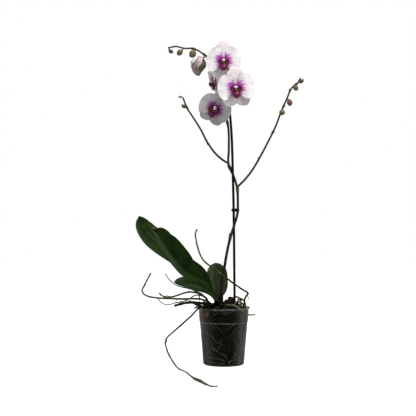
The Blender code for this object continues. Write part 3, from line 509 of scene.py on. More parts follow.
# Lip: up, forward, half width and rise of the edges of its middle lobe, from its hinge to its tip.
LIP_ROWS = [
    (-0.0032, 0.0015, 0.0018, 0.0), (-0.0052, 0.0036, 0.0042, 0.0006), (-0.0078, 0.0058, 0.0056, 0.0008),
    (-0.0105, 0.0076, 0.0066, 0.0010), (-0.0150, 0.0088, 0.0088, 0.0005), (-0.0190, 0.0082, 0.0062, 0.0002),
    (-0.0215, 0.0072, 0.0010, 0.0),
]
# Its side lobes: outward, up, forward and half width, from the middle lobe to the lobe's end.
SIDE_LOBE_ROWS = [
    (0.0016, -0.0048, 0.0030, 0.0026), (0.0050, -0.0052, 0.0052, 0.0052), (0.0085, -0.0044, 0.0078, 0.0066),
    (0.0115, -0.0030, 0.0100, 0.0054), (0.0132, -0.0018, 0.0112, 0.0012),
]
LIP_THICKNESS = 0.0010
LIP_FINE_ROWS = 36
LIP_FINE_COLUMNS = 18

OPENING_BUD_ROUTE = [
    (-0.049, -0.0154, 0.6896), (-0.0503, -0.0166, 0.6878), (-0.053, -0.0185, 0.683),
    (-0.057, -0.02, 0.672), (-0.0585, -0.0205, 0.658), (-0.0565, -0.0205, 0.649),
]
OPENING_BUD_RADII = [0.0022, 0.008, 0.014, 0.0165, 0.009, 0.0015]
# Its parts: bearing (0 to the front, 90 to the right) and half span in degrees, share of the radius,
# where each starts and ends along the bud, how far its edges lift, and its finish.
OPENING_PARTS = [
    (70.0, 62.0, 1.0, 0.0, 1.0, 0.0010, 0),
    (190.0, 66.0, 1.0, 0.0, 1.0, 0.0010, 0),
    (-52.0, 60.0, 0.985, 0.0, 1.0, 0.0014, 2),
    (-64.0, 34.0, 1.05, 0.08, 0.56, 0.0016, 3),
    (2.0, 15.0, 1.07, 0.04, 0.62, 0.0012, 5),
]

# Loose bark chips on the mound: middle, size and turn in degrees.
CHIPS = {
    "bark_chip_red": ((0.014, -0.015, 0.1460), (0.0155, 0.012, 0.019), (8.0, 12.0, 10.0)),
    "bark_chip_dark": ((0.0225, -0.0095, 0.1385), (0.008, 0.007, 0.009), (-10.0, 15.0, 40.0)),
    "bark_chip_rear": ((0.008, 0.025, 0.139), (0.02, 0.013, 0.008), (6.0, -8.0, 65.0)),
}


# ---------------------------------------------------------------- settings


def length(name, description, default):
    return FloatProperty(name=name, description=description, default=default, min=0.0, unit="LENGTH")


def factor(name, description, default, top=1.0):
    return FloatProperty(name=name, description=description, default=default, min=0.0, max=top)


def count(name, description, default):
    return IntProperty(name=name, description=description, default=default, min=3)


def colour(name, description, default):
    return FloatVectorProperty(
        name=name, description=description, default=default, subtype="COLOR", size=3, min=0.0, max=1.0
    )


class OrchidPot(bpy.types.PropertyGroup):
    """Pot, filling, stake and clip."""

    wall: length("Wall", "Thickness of the pot's wall", POT_WALL)
    sides: count("Sides", "Flat sides that a round pot is made of", 96)
    plastic: colour("Plastic", "Tint of the clear plastic", (0.080, 0.082, 0.072))
    edge: colour("Edge", "Tint of the rim and the step, where the plastic is thick", (0.150, 0.160, 0.145))
    foot: colour("Foot", "Shaded plastic of the foot", (0.030, 0.031, 0.026))
    clearness: factor("Clearness", "How much of what is behind the wall shows through it", 0.97)
    mound_chips: count("Mound chips", "Bark chips on the mound", 150)
    wall_chips: count("Wall chips", "Bark chips that show through the wall", 640)
    # Partly painted shade: both bark colours are kept near black for wet bark and also for the shade inside
    # the pot.
    bark_wet_and_shaded: colour("Dark bark", "Wet bark in the hollows", (0.0030, 0.0025, 0.0015))
    bark_light: colour("Light bark", "Dry faces of the bark", (0.018, 0.012, 0.006))
    red_bark: colour("Red bark", "The reddish chunk by the stake", (0.070, 0.034, 0.017))
    support: colour("Support", "Black plastic of the stake and the clip", (0.0035, 0.0030, 0.0030))
    scratch: colour("Scratch", "Fine scratches on the black plastic", (0.030, 0.029, 0.027))


class OrchidGreens(bpy.types.PropertyGroup):
    """Leaves, stems, roots and buds."""

    leaf_dark: colour("Leaf, dark", "Upper side of a leaf", (0.0055, 0.0150, 0.0018))
    leaf_light: colour("Leaf, light", "Lighter clouding of the upper side", (0.0140, 0.0330, 0.0045))
    # Painted sheen: this pale colour makes the band down the folded half of leaf_front, standing for light
    # glancing off it; leaf_back is also mixed a share of the way to it.
    leaf_pale_and_sheen: colour("Leaf, pale", "Pale stripe along one leaf", (0.0400, 0.0620, 0.0260))
    leaf_under: colour("Leaf, underside", "Lower side of a leaf", (0.0300, 0.0500, 0.0130))
    leaf_scar: colour("Leaf scar", "Brown damage on a leaf", (0.1200, 0.0480, 0.0120))
    leaf_yellow: colour("Leaf, yellowed", "Yellowed edge of a leaf", (0.1500, 0.1150, 0.0150))
    stem_low: colour("Stem, low", "Purplish brown at the foot of the flower stem", (0.0170, 0.0090, 0.0100))
    stem_high: colour("Stem, high", "Olive green of the upper stem", (0.0230, 0.0270, 0.0110))
    stalk: colour("Stalk", "Pale stalks of the flowers", (0.2600, 0.2300, 0.1500))
    bract: colour("Bract", "Dry scales at the joints of the stem", (0.1100, 0.0850, 0.0500))
    root_grey: colour("Root, grey", "Silvery skin of a dry root", (0.1250, 0.1350, 0.0850))
    root_green: colour("Root, green", "A plump living root", (0.0220, 0.0420, 0.0100))
    root_brown: colour("Root, brown", "A dry brown root", (0.1600, 0.1250, 0.0700))
    root_dark: colour("Root, dark", "Dead root and shaded root skin", (0.0100, 0.0080, 0.0050))
    root_inside: colour("Root, in the pot", "A root behind the wall", (0.1300, 0.1400, 0.0560))
    bud_olive: colour("Bud, olive", "An olive bud", (0.1500, 0.1150, 0.0480))
    bud_brown: colour("Bud, brown", "A brown bud", (0.1150, 0.0600, 0.0280))
    bud_pink: colour("Bud, pink", "A pinkish brown bud", (0.1700, 0.0800, 0.0600))
    dry_leaf: colour("Dry leaf", "The dead scrap on the rim", (0.1250, 0.0700, 0.0120))


class OrchidFlowers(bpy.types.PropertyGroup):
    """Open flowers."""

    petal: colour("Petal", "White of the petals", (0.930, 0.890, 0.910))
    vein: colour("Vein", "Faint pink of the veins", (0.800, 0.640, 0.750))
    # Partly painted shade: the greyer white is the sepals' own tint and also the shade that falls on the
    # dorsal and right sepals.
    sepal: colour("Sepal", "Slightly greyer white of the sepals", (0.740, 0.680, 0.690))
    # Painted shade: the lowest flower's petals and sepals are darkened to this share of their brightness, for
    # the shade that it hangs in below the other flowers, not for its age.
    painted_shade_brightness: factor("Dimming", "How bright the oldest, lowest flower still is beside the others", 0.56)
    blotch: colour("Blotch", "Purple blotch round the middle", (0.470, 0.090, 0.450))
    blotch_deep: colour("Deep blotch", "Innermost part of the blotch", (0.270, 0.016, 0.220))
    blotch_reach: length("Blotch reach", "How far the blotch reaches from the middle", 0.0185)
    petal_back: colour("Petal, back", "Back of the petals and sepals", (0.560, 0.500, 0.480))
    cup: colour("Cup", "Grey pink of a half open bud", (0.420, 0.350, 0.320))
    cup_shade: colour("Cup, shaded", "Its browner patches", (0.250, 0.180, 0.150))
    lip: colour("Lip", "Maroon of the lip", (0.115, 0.014, 0.020))
    callus: colour("Callus", "Yellow knob on the lip", (0.420, 0.230, 0.030))
    column: colour("Column", "Cream white of the column", (0.850, 0.760, 0.700))
    ruffle: length("Ruffle", "How far the edges of a petal wave", 0.0020)


class OrchidStudio(bpy.types.PropertyGroup):
    """Floor, lights and camera."""

    floor: colour("Floor", "Plain pale floor", (0.55, 0.55, 0.55))
    floor_size: length("Floor size", "Side of the square floor", 8.0)
    distance: length("Camera distance", "From the pot's axis to the camera", 2.3)
    height: length("Camera height", "Height of the level camera", 0.3528)
    shift: FloatProperty(name="Camera offset", description="Sideways place", default=-0.0355, unit="LENGTH")
    lens: FloatProperty(name="Lens", description="Focal length in millimetres", default=88.0, min=1.0)
    key: factor("Key light", "Power of the soft main light in watts", 84.0, 500.0)
    fill: factor("Fill light", "Power of the soft light from the left in watts", 9.0, 500.0)
    rear: factor("Rear light", "Power of the soft light from behind in watts", 10.0, 500.0)
    surround: factor("Surround", "Brightness of the room that lights the object", 0.12, 5.0)
    glow: factor("Floor glow", "Brightness that the pale floor itself shows", 0.93, 5.0)


# ---------------------------------------------------------------- curves and frames


def cubic(t, span, low, high, low_slope, high_slope):
    """A smooth step of a curve: t runs from 0 to 1 between two values, whose slopes are given."""
    near = (2 * t**3 - 3 * t**2 + 1) * low + (t**3 - 2 * t**2 + t) * span * low_slope
    far = (3 * t**2 - 2 * t**3) * high + (t**3 - t**2) * span * high_slope
    return near + far


def eased(table, position):
    """The value at a position of a table of (position, value) rows, on a smooth curve through the rows."""
    slopes = []
    for i in range(len(table)):
        before = table[max(i - 1, 0)]
        after = table[min(i + 1, len(table) - 1)]
        slopes.append((after[1] - before[1]) / (after[0] - before[0]))
    for i in range(len(table) - 1):
        (start, low), (end, high) = table[i], table[i + 1]
        if position <= end:
            span = end - start
            return cubic(max(0.0, (position - start) / span), span, low, high, slopes[i], slopes[i + 1])
    return table[-1][1]


def smooth_route(route, steps):
    """Points on a smooth curve through the route's own points, with a number of steps for each span."""
    points = [Vector(point) for point in route]
    spans = [(end - start).length for start, end in zip(points, points[1:])]
    slopes = [(points[1] - points[0]) / spans[0]]
    for i in range(1, len(points) - 1):
        before = (points[i] - points[i - 1]) / spans[i - 1]
        after = (points[i + 1] - points[i]) / spans[i]
        slopes.append((before * spans[i] + after * spans[i - 1]) / (spans[i - 1] + spans[i]))
    slopes.append((points[-1] - points[-2]) / spans[-1])
    smooth = [points[0]]
    for i, span in enumerate(spans):
        for step in range(1, steps + 1):
            smooth.append(cubic(step / steps, span, points[i], points[i + 1], slopes[i], slopes[i + 1]))
    return smooth


def distances(points):
    """How far along the line each point lies, from 0 to 1."""
    lengths = [0.0]
    for start, end in zip(points, points[1:]):
        lengths.append(lengths[-1] + (end - start).length)
    return [so_far / lengths[-1] for so_far in lengths]


def radius_table(route, radii):
    """Rows of (place along a route, radius there)."""
    return list(zip(distances([Vector(point) for point in route]), radii))


def directions(points):
    """The way the line runs at each point."""
    ways = [points[1] - points[0]]
    ways += [after - before for before, after in zip(points, points[2:])]
    ways.append(points[-1] - points[-2])
    return [way.normalized() for way in ways]


def at(values, alongs, share):
    """The point or direction at a share of a line's length."""
    for i in range(1, len(alongs)):
        if share <= alongs[i]:
            part = (share - alongs[i - 1]) / (alongs[i] - alongs[i - 1])
            return values[i - 1].lerp(values[i], part)
    return values[-1].copy()


def bell(distance, width):
    return math.exp(-((distance / width) ** 2))


def tube_frames(points):
    """Two directions square to a line at each of its points, turned along with it without a twist."""
    ways = directions(points)
    across = ways[0].orthogonal().normalized()
    frames = []
    for way in ways:
        across = (across - across.dot(way) * way).normalized()
        frames.append((across, way.cross(across)))
    return frames


def tube_rings(points, radii, sides, form=None):
    """Rings round a line. form gives the share of the radius at (place along, angle)."""
    alongs = distances(points)
    rings = []
    for point, radius, along, (across, upward) in zip(points, radii, alongs, tube_frames(points)):
        ring = []
        for i in range(sides):
            angle = 2 * math.pi * i / sides
            reach = radius * (form(along, angle) if form else 1.0)
            ring.append(point + reach * (math.cos(angle) * across + math.sin(angle) * upward))
        rings.append(ring)
    return rings


def flower_frame(centre, facing, roll, size):
    """Turns a flower's own directions (right, up, forward) into the object's frame."""
    forward = Vector(facing).normalized()
    right = Vector((0, 0, 1)).cross(forward).normalized()
    upright = forward.cross(right)
    turn = Matrix.Rotation(math.radians(-roll), 4, "Z")
    turned = Matrix((right, upright, forward)).transposed().to_4x4()
    return Matrix.Translation(Vector(centre)) @ turned @ turn @ Matrix.Scale(size, 4)


# ---------------------------------------------------------------- shapes


class Shape:
    """Closed shells that together make one piece, with places for the finish and a tone for each face."""

    def __init__(self):
        self.points = []
        self.faces = []
        self.places = []
        self.slots = []
        self.tones = []

    def face(self, corners, places, slot, tone=0.5):
        self.faces.append(corners)
        self.places.extend(places)
        self.slots.append(slot)
        self.tones.append(tone)

    def loft(self, rings, slot=0, tone=0.5, slot_of=None, closed=False):
        """A closed shell through rings of the same number of points; closed joins the last to the first.

        slot_of picks a finish for each span between two rings.
        """
        if closed:
            rings = rings + rings[:1]
        first = len(self.points)
        sides = len(rings[0])
        middles = [sum(ring, Vector()) / sides for ring in rings]
        alongs = [0.0]
        for i in range(1, len(rings)):
            gap = max((middles[i] - middles[i - 1]).length, (rings[i][0] - rings[i - 1][0]).length)
            alongs.append(alongs[-1] + gap)
        alongs = [along / alongs[-1] for along in alongs]
        for ring in rings[:-1] if closed else rings:
            self.points.extend(ring)
        for i in range(len(rings) - 1):
            low, high = alongs[i], alongs[i + 1]
            following = 0 if closed and i == len(rings) - 2 else i + 1
            finish = slot_of(i) if slot_of else slot
            for j in range(sides):
                k = (j + 1) % sides
                a, b = first + i * sides, first + following * sides
                left, right = j / sides, (j + 1) / sides
                places = [(left, low), (right, low), (right, high), (left, high)]
                self.face((a + j, a + k, b + k, b + j), places, finish, tone)
        if closed:
            return
        last = first + (len(rings) - 1) * sides
        for start, along, turn in ((first, 0.0, -1), (last, 1.0, 1)):
            corners = list(range(start, start + sides))[::turn]
            self.face(tuple(corners), [(0.5, along)] * sides, slot, tone)

    def sheet(self, rows, slots=(0, 1)):
        """A thin closed shell; each row holds a (front point, back point) pair for each place across it."""
        first = len(self.points)
        columns = len(rows[0])
        for row in rows:
            for front, back in row:
                self.points.extend((front, back))

        def corner(i, j, side):
            return first + 2 * (i * columns + j) + side

        def place(i, j):
            return (j / (columns - 1), i / (len(rows) - 1))

        for i in range(len(rows) - 1):
            for j in range(columns - 1):
                square = ((i, j), (i, j + 1), (i + 1, j + 1), (i + 1, j))
                places = [place(*spot) for spot in square]
                self.face(tuple(corner(*spot, 0) for spot in square), places, slots[0])
                self.face(tuple(corner(*spot, 1) for spot in square[::-1]), places[::-1], slots[1])
        border = [(0, j) for j in range(columns)] + [(i, columns - 1) for i in range(1, len(rows))]
        border += [(len(rows) - 1, j) for j in range(columns - 2, -1, -1)]
        border += [(i, 0) for i in range(len(rows) - 2, 0, -1)]
        for here, there in zip(border, border[1:] + border[:1]):
            corners = (corner(*here, 0), corner(*here, 1), corner(*there, 1), corner(*there, 0))
            self.face(corners, [place(*here)] * 2 + [place(*there)] * 2, slots[1])

    def wrap(self, points, slot=0, tone=0.5):
        """A convex shell round loose points."""
        mesh = bmesh.new()
        for point in points:
            mesh.verts.new(point)
        made = bmesh.ops.convex_hull(mesh, input=mesh.verts)
        spare = [item for item in made["geom_interior"] if isinstance(item, bmesh.types.BMVert)]
        bmesh.ops.delete(mesh, geom=spare, context="VERTS")
        mesh.verts.index_update()
        first = len(self.points)
        self.points.extend(vertex.co.copy() for vertex in mesh.verts)
        for face in mesh.faces:
            corners = tuple(first + vertex.index for vertex in face.verts)
            self.face(corners, [(0.5, 0.5)] * len(corners), slot, tone)
        mesh.free()

    def piece(self, name, finishes, slot, *nodes, crease=50.0, middle=None):
        """Makes the object, which rides on the plant and stands for its solids.

        Where a flower's frame is given as middle, each point keeps its distance from the flower's axis.
        """
        data = bpy.data.meshes.new(name)
        data.from_pydata(self.points, [], self.faces)
        data.uv_layers.new(name="surface")
        flat = [value for place in self.places for value in place]
        data.uv_layers["surface"].data.foreach_set("uv", flat)
        for finish in finishes:
            data.materials.append(finish)
        data.polygons.foreach_set("material_index", self.slots)
        tones = data.attributes.new("tone", "FLOAT", "FACE")
        tones.data.foreach_set("value", self.tones)
        if middle:
            inward = middle.inverted()
            reaches = data.attributes.new("reach", "FLOAT", "POINT")
            reaches.data.foreach_set("value", [(inward @ point).xy.length for point in self.points])
        mesh = bmesh.new()
        mesh.from_mesh(data)
        bmesh.ops.recalc_face_normals(mesh, faces=mesh.faces)
        mesh.to_mesh(data)
        mesh.free()
        data.shade_smooth()
        data.set_sharp_from_angle(angle=math.radians(crease))
        obj = bpy.data.objects.new(name, data)
        bpy.context.scene.collection.objects.link(obj)
        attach(obj, "root")
        if nodes:
            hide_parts(*nodes)
        return obj


def knob(shape, centre, across, upward, forward, slot=0):
    """A closed rounded lump with three half axes."""
    sides, levels = 14, 8
    rings = []
    for level in range(levels + 1):
        tilt = math.pi * (0.04 + 0.92 * level / levels)
        ring = []
        for i in range(sides):
            angle = 2 * math.pi * i / sides
            flat = math.sin(tilt) * (math.cos(angle) * across + math.sin(angle) * upward)
            ring.append(centre + flat - math.cos(tilt) * forward)
        rings.append(ring)
    shape.loft(rings, slot)


def turned_knob(shape, place, centre, sizes, slot=0):
    """A lump whose middle and half sizes are given in a flower's own directions."""
    turn = place.to_3x3()
    axes = [turn @ Vector([size if i == j else 0.0 for j in range(3)]) for i, size in enumerate(sizes)]
    knob(shape, place @ Vector(centre), *axes, slot)


def rough(point, scale, seed=0.0):
    """Smooth noise between -1 and 1 at a place, in lumps of about 1 / scale metres."""
    return noise.noise(point * scale + Vector((seed, 1.7 * seed, 0.3 * seed)))


# ---------------------------------------------------------------- finishes


def rgba(value):
    """A socket as it is, a grey or a colour as four numbers."""
    if isinstance(value, bpy.types.NodeSocket):
        return value
    if isinstance(value, (int, float)):
        return (value, value, value, 1.0)
    return (value[0], value[1], value[2], 1.0)


class Recipe:
    """A material put together from nodes, with short forms for the steps that come back."""

    def __init__(self, name, roughness):
        self.material = bpy.data.materials.new(f"fine_{name}")
        self.material.use_nodes = True
        self.tree = self.material.node_tree
        self.shader = self.tree.nodes["Principled BSDF"]
        self.set("Roughness", roughness)

    def set(self, socket, value):
        """Gives a socket of the shader a number, a colour or another node's output."""
        self.feed(self.shader.inputs[socket], value)

    def feed(self, socket, value):
        if isinstance(value, bpy.types.NodeSocket):
            self.tree.links.new(value, socket)
        else:
            socket.default_value = value

    def node(self, kind, values, **settings):
        made = self.tree.nodes.new(kind)
        for name, value in settings.items():
            setattr(made, name, value)
        for socket, value in values.items():
            self.feed(made.inputs[socket], value)
        return made

    def place(self, kind="Object", stretch=(1.0, 1.0, 1.0)):
        """Places in metres over the object, or from 0 to 1 over a piece's own surface."""
        source = self.node("ShaderNodeTexCoord", {}).outputs[kind]
        return self.node("ShaderNodeMapping", {"Vector": source, "Scale": stretch}).outputs["Vector"]

    def part_of(self, kind, axis):
        """One part of a place, such as its height, or how far across (X) or along (Y) its surface it lies."""
        source = self.node("ShaderNodeTexCoord", {}).outputs[kind]
        return self.node("ShaderNodeSeparateXYZ", {"Vector": source}).outputs[axis]

    def away(self, middle=0.5):
        """How far a place lies to either side of a line along the surface, 0.5 being its midline."""
        return self.math("ABSOLUTE", self.math("SUBTRACT", self.part_of("UV", "X"), middle))

    def streaks(self, across, along, detail=2.0, roughness=0.55):
        """Uneven lines along the surface, about so many across it and so many along it."""
        return self.noise(1.0, self.place("UV", (across, along, 1.0)), detail, roughness)

    def noise(self, scale, place=None, detail=3.0, roughness=0.55):
        values = {"Vector": place or self.place(), "Scale": scale, "Detail": detail, "Roughness": roughness}
        return self.node("ShaderNodeTexNoise", values).outputs["Fac"]

    def math(self, operation, first, second=0.0):
        return self.node("ShaderNodeMath", {0: first, 1: second}, operation=operation).outputs[0]

    def span(self, value, start, end, low=0.0, high=1.0):
        """A value's place between start and end, eased, as a number from low to high."""
        values = {"Value": value, "From Min": start, "From Max": end, "To Min": low, "To Max": high}
        return self.node("ShaderNodeMapRange", values, interpolation_type="SMOOTHSTEP").outputs["Result"]

    def mix(self, share, low, high):
        values = {0: share, 6: rgba(low), 7: rgba(high)}
        return self.node("ShaderNodeMix", values, data_type="RGBA").outputs[2]

    def skin(self, tint, gloss, relief, depth, strength=0.5):
        """Finishes the recipe: its colour, how glossy it is and its fine relief."""
        self.set("Base Color", tint)
        self.set("Specular IOR Level", gloss)
        self.bump(relief, depth, strength)

    def stored(self, name):
        """A value that the mesh itself carries: tone for each face, or reach for each point of a flower."""
        return self.node("ShaderNodeAttribute", {}, attribute_name=name).outputs["Fac"]

    def bump(self, height, distance, strength=1.0):
        values = {"Height": height, "Distance": distance, "Strength": strength}
        self.set("Normal", self.node("ShaderNodeBump", values).outputs["Normal"])

    def near(self, spot, radius, wander=0.35):
        """1 inside a ragged round patch over a place in the front view, 0 outside it."""
        flat = self.place("Object", (1.0, 0.0, 1.0))
        values = {0: flat, 1: (spot[0], 0.0, spot[1])}
        away = self.node("ShaderNodeVectorMath", values, operation="DISTANCE").outputs["Value"]
        ragged = self.math("MULTIPLY", self.noise(2.2 / radius), wander * 2 * radius)
        return self.span(self.math("ADD", away, ragged), 1.35 * radius, 0.75 * radius)


def clear_plastic(name, tint, cover):
    """Clear, slightly scuffed plastic: it mirrors and clouds at its edges and is nearly unseen face on."""
    recipe = Recipe(name, 0.12)
    recipe.set("Base Color", rgba(tint))
    recipe.set("Specular IOR Level", 0.12)
    facing = recipe.node("ShaderNodeLayerWeight", {"Blend": 0.5}).outputs["Facing"]
    scuffs = recipe.noise(90.0, recipe.place("Object", (1.0, 1.0, 0.35)), 5.0, 0.6)
    marks = recipe.span(scuffs, 0.3, 0.8, 0.8, 1.2)
    clouding = recipe.span(recipe.streaks(46.0, 1.4, 3.0, 0.6), 0.35, 0.75, 0.5, 1.5)
    haze = recipe.math("MULTIPLY", clouding, marks)
    edge = recipe.span(facing, 0.06, 0.50, cover, max(cover, 0.80))
    rim = recipe.span(facing, 0.66, 0.90)
    veil = recipe.math("MINIMUM", recipe.math("MULTIPLY", edge, haze), 1.0)
    recipe.set("Alpha", recipe.math("MAXIMUM", rim, veil))
    recipe.set("Roughness", recipe.span(scuffs, 0.3, 0.7, 0.08, 0.24))


def bark(name, dark, light):
    """Wet bark: dark patches, drier faces, fine layers along the chip and a rough skin; its near-black
    colours are partly painted shade for the inside of the pot.
    """
    recipe = Recipe(name, 0.85)
    coarse = recipe.noise(170.0, None, 4.0)
    layers = recipe.noise(520.0, recipe.place("Object", (1.0, 1.0, 3.0)), 4.0, 0.65)
    body = recipe.mix(recipe.span(coarse, 0.40, 0.72), dark, light)
    body = recipe.mix(recipe.math("MULTIPLY", recipe.stored("tone"), 0.75), body, light)
    recipe.set("Roughness", recipe.span(coarse, 0.3, 0.7, 0.60, 0.95))
    recipe.skin(recipe.mix(recipe.span(layers, 0.52, 0.42, 0.0, 0.75), body, dark), 0.18, layers, 0.0009, 0.8)


def support_plastic(settings):
    """Black moulded plastic with fine scratches along it."""
    recipe = Recipe("black_plastic", 0.45)
    scratches = recipe.noise(700.0, recipe.place("Object", (1.0, 1.0, 0.06)), 3.0)
    recipe.set("Roughness", recipe.span(scratches, 0.35, 0.7, 0.38, 0.62))
    worn = recipe.mix(recipe.span(scratches, 0.55, 0.75), settings.support, settings.scratch)
    recipe.skin(worn, 0.12, scratches, 0.00015)


def leaf_upper(settings, name, patches, painted_sheen=0.0, paleness=0.0):
    """Waxy upper side: clouded green, parallel veins, a midrib line and ragged patches of damage. On one leaf
    a pale band down one half of it is painted sheen.
    """
    recipe = Recipe(name, 0.34)
    clouds = recipe.noise(38.0, None, 4.0)
    veins = recipe.streaks(64.0, 2.2, 2.0, 0.5)
    along = recipe.part_of("UV", "Y")
    centre = recipe.away()
    green = recipe.mix(recipe.span(clouds, 0.36, 0.70), settings.leaf_dark, settings.leaf_light)
    green = recipe.mix(recipe.span(veins, 0.52, 0.72, 0.0, 0.2), green, settings.leaf_light)
    green = recipe.mix(recipe.span(centre, 0.022, 0.006, 0.0, 0.6), green, settings.leaf_under)
    green = recipe.mix(recipe.span(centre, 0.485, 0.5, 0.0, 0.5), green, settings.leaf_under)
    green = recipe.mix(recipe.span(along, 0.13, 0.0, 0.0, 0.5), green, settings.leaf_light)
    green = recipe.mix(paleness, green, settings.leaf_pale_and_sheen)
    # Painted sheen: a pale band down one half of the leaf, from about a third of its length to the tip, for
    # light glancing off the folded half.
    band = recipe.span(recipe.away(0.26), 0.23, 0.14)
    band = recipe.math("MULTIPLY", band, recipe.span(along, 0.30, 0.52, 0.0, painted_sheen))
    green = recipe.mix(band, green, settings.leaf_pale_and_sheen)
    for spot, radius, tint in patches:
        green = recipe.mix(recipe.near(spot, radius), green, tint)
    recipe.set("Roughness", recipe.span(clouds, 0.3, 0.7, 0.34, 0.48))
    pores = recipe.noise(900.0, None, 2.0)
    relief = recipe.math("ADD", veins, recipe.math("MULTIPLY", pores, 0.25))
    recipe.skin(green, 0.06, relief, 0.00025, 0.6)


def leaf_lower(settings):
    """Matt, paler underside with a purplish flush towards the base."""
    recipe = Recipe("leaf_under", 0.5)
    clouds = recipe.noise(45.0, None, 4.0)
    veins = recipe.streaks(48.0, 2.0)
    green = recipe.mix(recipe.span(clouds, 0.3, 0.75), settings.leaf_under, settings.leaf_light)
    green = recipe.mix(recipe.span(veins, 0.5, 0.7, 0.0, 0.4), green, settings.leaf_light)
    base = recipe.span(recipe.part_of("UV", "Y"), 0.5, 0.0)
    flush = recipe.math("MULTIPLY", base, recipe.span(clouds, 0.3, 0.7, 0.1, 0.6))
    recipe.skin(recipe.mix(flush, green, settings.stem_low), 0.25, veins, 0.0002)


def stem_skin(settings):
    """Stem: purplish brown at the foot, olive green above, with fine lines along it and small specks."""
    recipe = Recipe("stem", 0.5)
    rise = recipe.span(recipe.part_of("Object", "Z"), 0.22, 0.42)
    lines = recipe.noise(1500.0, recipe.place("Object", (1.0, 1.0, 0.05)), 2.0)
    specks = recipe.noise(650.0, None, 2.0)
    body = recipe.mix(rise, settings.stem_low, settings.stem_high)
    body = recipe.mix(recipe.span(lines, 0.45, 0.75, 0.0, 0.35), body, settings.stem_low)
    recipe.set("Roughness", recipe.span(specks, 0.3, 0.7, 0.40, 0.60))
    body = recipe.mix(recipe.span(specks, 0.68, 0.80, 0.0, 0.2), body, settings.bract)
    recipe.skin(body, 0.25, lines, 0.0002, 0.6)


def plain_skin(name, low, high, roughness, scale=500.0, depth=0.0002):
    """Two tones of a soft plant skin in irregular specks, with a fine relief."""
    recipe = Recipe(name, roughness)
    specks = recipe.noise(scale, None, 4.0, 0.6)
    recipe.skin(recipe.mix(recipe.span(specks, 0.34, 0.70), low, high), 0.3, specks, depth, 0.7)


def root_skin(settings, name, skin_tint, core_tint, tip_tint, share, gloom=0.0):
    """Papery root skin: silvery patches over a darker core, rings round it and a fresh growing tip.

    Gloom darkens the upper stretch of a root that trails down out of the leaves' shade.
    """
    recipe = Recipe(name, 0.75)
    patches = recipe.noise(85.0, None, 4.0, 0.6)
    grain = recipe.noise(900.0, None, 3.0, 0.6)
    rings = recipe.streaks(3.0, 70.0)
    height = recipe.part_of("Object", "Z")
    body = recipe.mix(recipe.span(patches, 0.62 - share, 0.82 - share), core_tint, skin_tint)
    body = recipe.mix(recipe.span(rings, 0.55, 0.70, 0.0, 0.45), body, core_tint)
    body = recipe.mix(recipe.span(grain, 0.58, 0.72, 0.0, 0.35), body, settings.root_dark)
    body = recipe.mix(recipe.span(height, 0.045, 0.085, 0.0, gloom), body, settings.root_dark)
    relief = recipe.math("ADD", rings, recipe.math("MULTIPLY", grain, 0.6))
    tip = recipe.span(recipe.part_of("UV", "Y"), 0.965, 0.985)
    recipe.skin(recipe.mix(tip, body, tip_tint), 0.2, relief, 0.0003, 0.8)


def bud_skin(settings, name, tint):
    """A closed bud: pale at the neck, tinted and veined over its back, darker at the seams' end."""
    recipe = Recipe(name, 0.5)
    along = recipe.part_of("UV", "Y")
    veins = recipe.streaks(30.0, 1.5)
    specks = recipe.noise(900.0, None, 2.0)
    body = recipe.mix(recipe.span(veins, 0.45, 0.75, 0.0, 0.45), tint, settings.bract)
    body = recipe.mix(recipe.span(specks, 0.6, 0.75, 0.0, 0.3), body, settings.stem_low)
    body = recipe.mix(recipe.span(along, 0.92, 1.0, 0.0, 0.5), body, settings.stem_low)
    recipe.skin(recipe.mix(recipe.span(along, 0.34, 0.20), body, settings.stem_high), 0.35, veins, 0.0002)


def petal_front(settings, name, reach, ground, shade=1.0):
    """Petal with faint fanned veins and a purple blotch that breaks up along them; a shade below 1 darkens
    the whole front as painted shade.
    """
    recipe = Recipe(name, 0.5)
    fan = recipe.streaks(24.0, 0.8, 2.0, 0.5)
    fine = recipe.streaks(80.0, 2.0, 2.0, 0.5)
    clouds = recipe.noise(120.0)
    body = recipe.mix(recipe.span(fan, 0.50, 0.72, 0.0, 0.35), ground, settings.vein)
    body = recipe.mix(recipe.span(clouds, 0.50, 0.75, 0.0, 0.2), body, settings.vein)
    # Painted shade: the outer edges of a petal or sepal are greyed towards the back colour, for the darker
    # rims that the light shows there.
    body = recipe.mix(recipe.span(recipe.away(), 0.45, 0.5, 0.0, 0.45), body, settings.petal_back)
    out = recipe.stored("reach")
    spread = out
    for lines, wander in ((fan, 1.10 * reach), (fine, 0.7 * reach)):
        offset = recipe.math("MULTIPLY", recipe.math("SUBTRACT", lines, 0.5), wander)
        spread = recipe.math("ADD", spread, offset)
    pale = recipe.mix(recipe.span(spread, 1.45 * reach, 0.8 * reach, 0.0, 0.30), body, settings.blotch)
    purple = recipe.mix(recipe.span(out, 0.85 * reach, 0.35 * reach), settings.blotch, settings.blotch_deep)
    body = recipe.mix(recipe.span(spread, 1.12 * reach, 0.72 * reach), pale, purple)
    relief = recipe.math("ADD", fan, recipe.math("MULTIPLY", fine, 0.4))
    # Painted shade: the front is darkened towards black by 1 - shade.
    recipe.skin(recipe.mix(1.0 - shade, body, 0.0), 0.2, relief, 0.0003)


def petal_rear(settings, midrib):
    """Back of the petals and sepals, with a greenish midrib and a pink flush."""
    recipe = Recipe("petal_back", 0.55)
    fan = recipe.streaks(34.0, 1.4)
    clouds = recipe.noise(90.0)
    body = recipe.mix(recipe.span(fan, 0.45, 0.72, 0.0, 0.45), settings.petal_back, settings.vein)
    body = recipe.mix(recipe.span(clouds, 0.5, 0.75, 0.0, 0.3), body, midrib)
    recipe.skin(recipe.mix(recipe.span(recipe.away(), 0.07, 0.0, 0.0, 0.55), body, midrib), 0.3, fan, 0.0003)


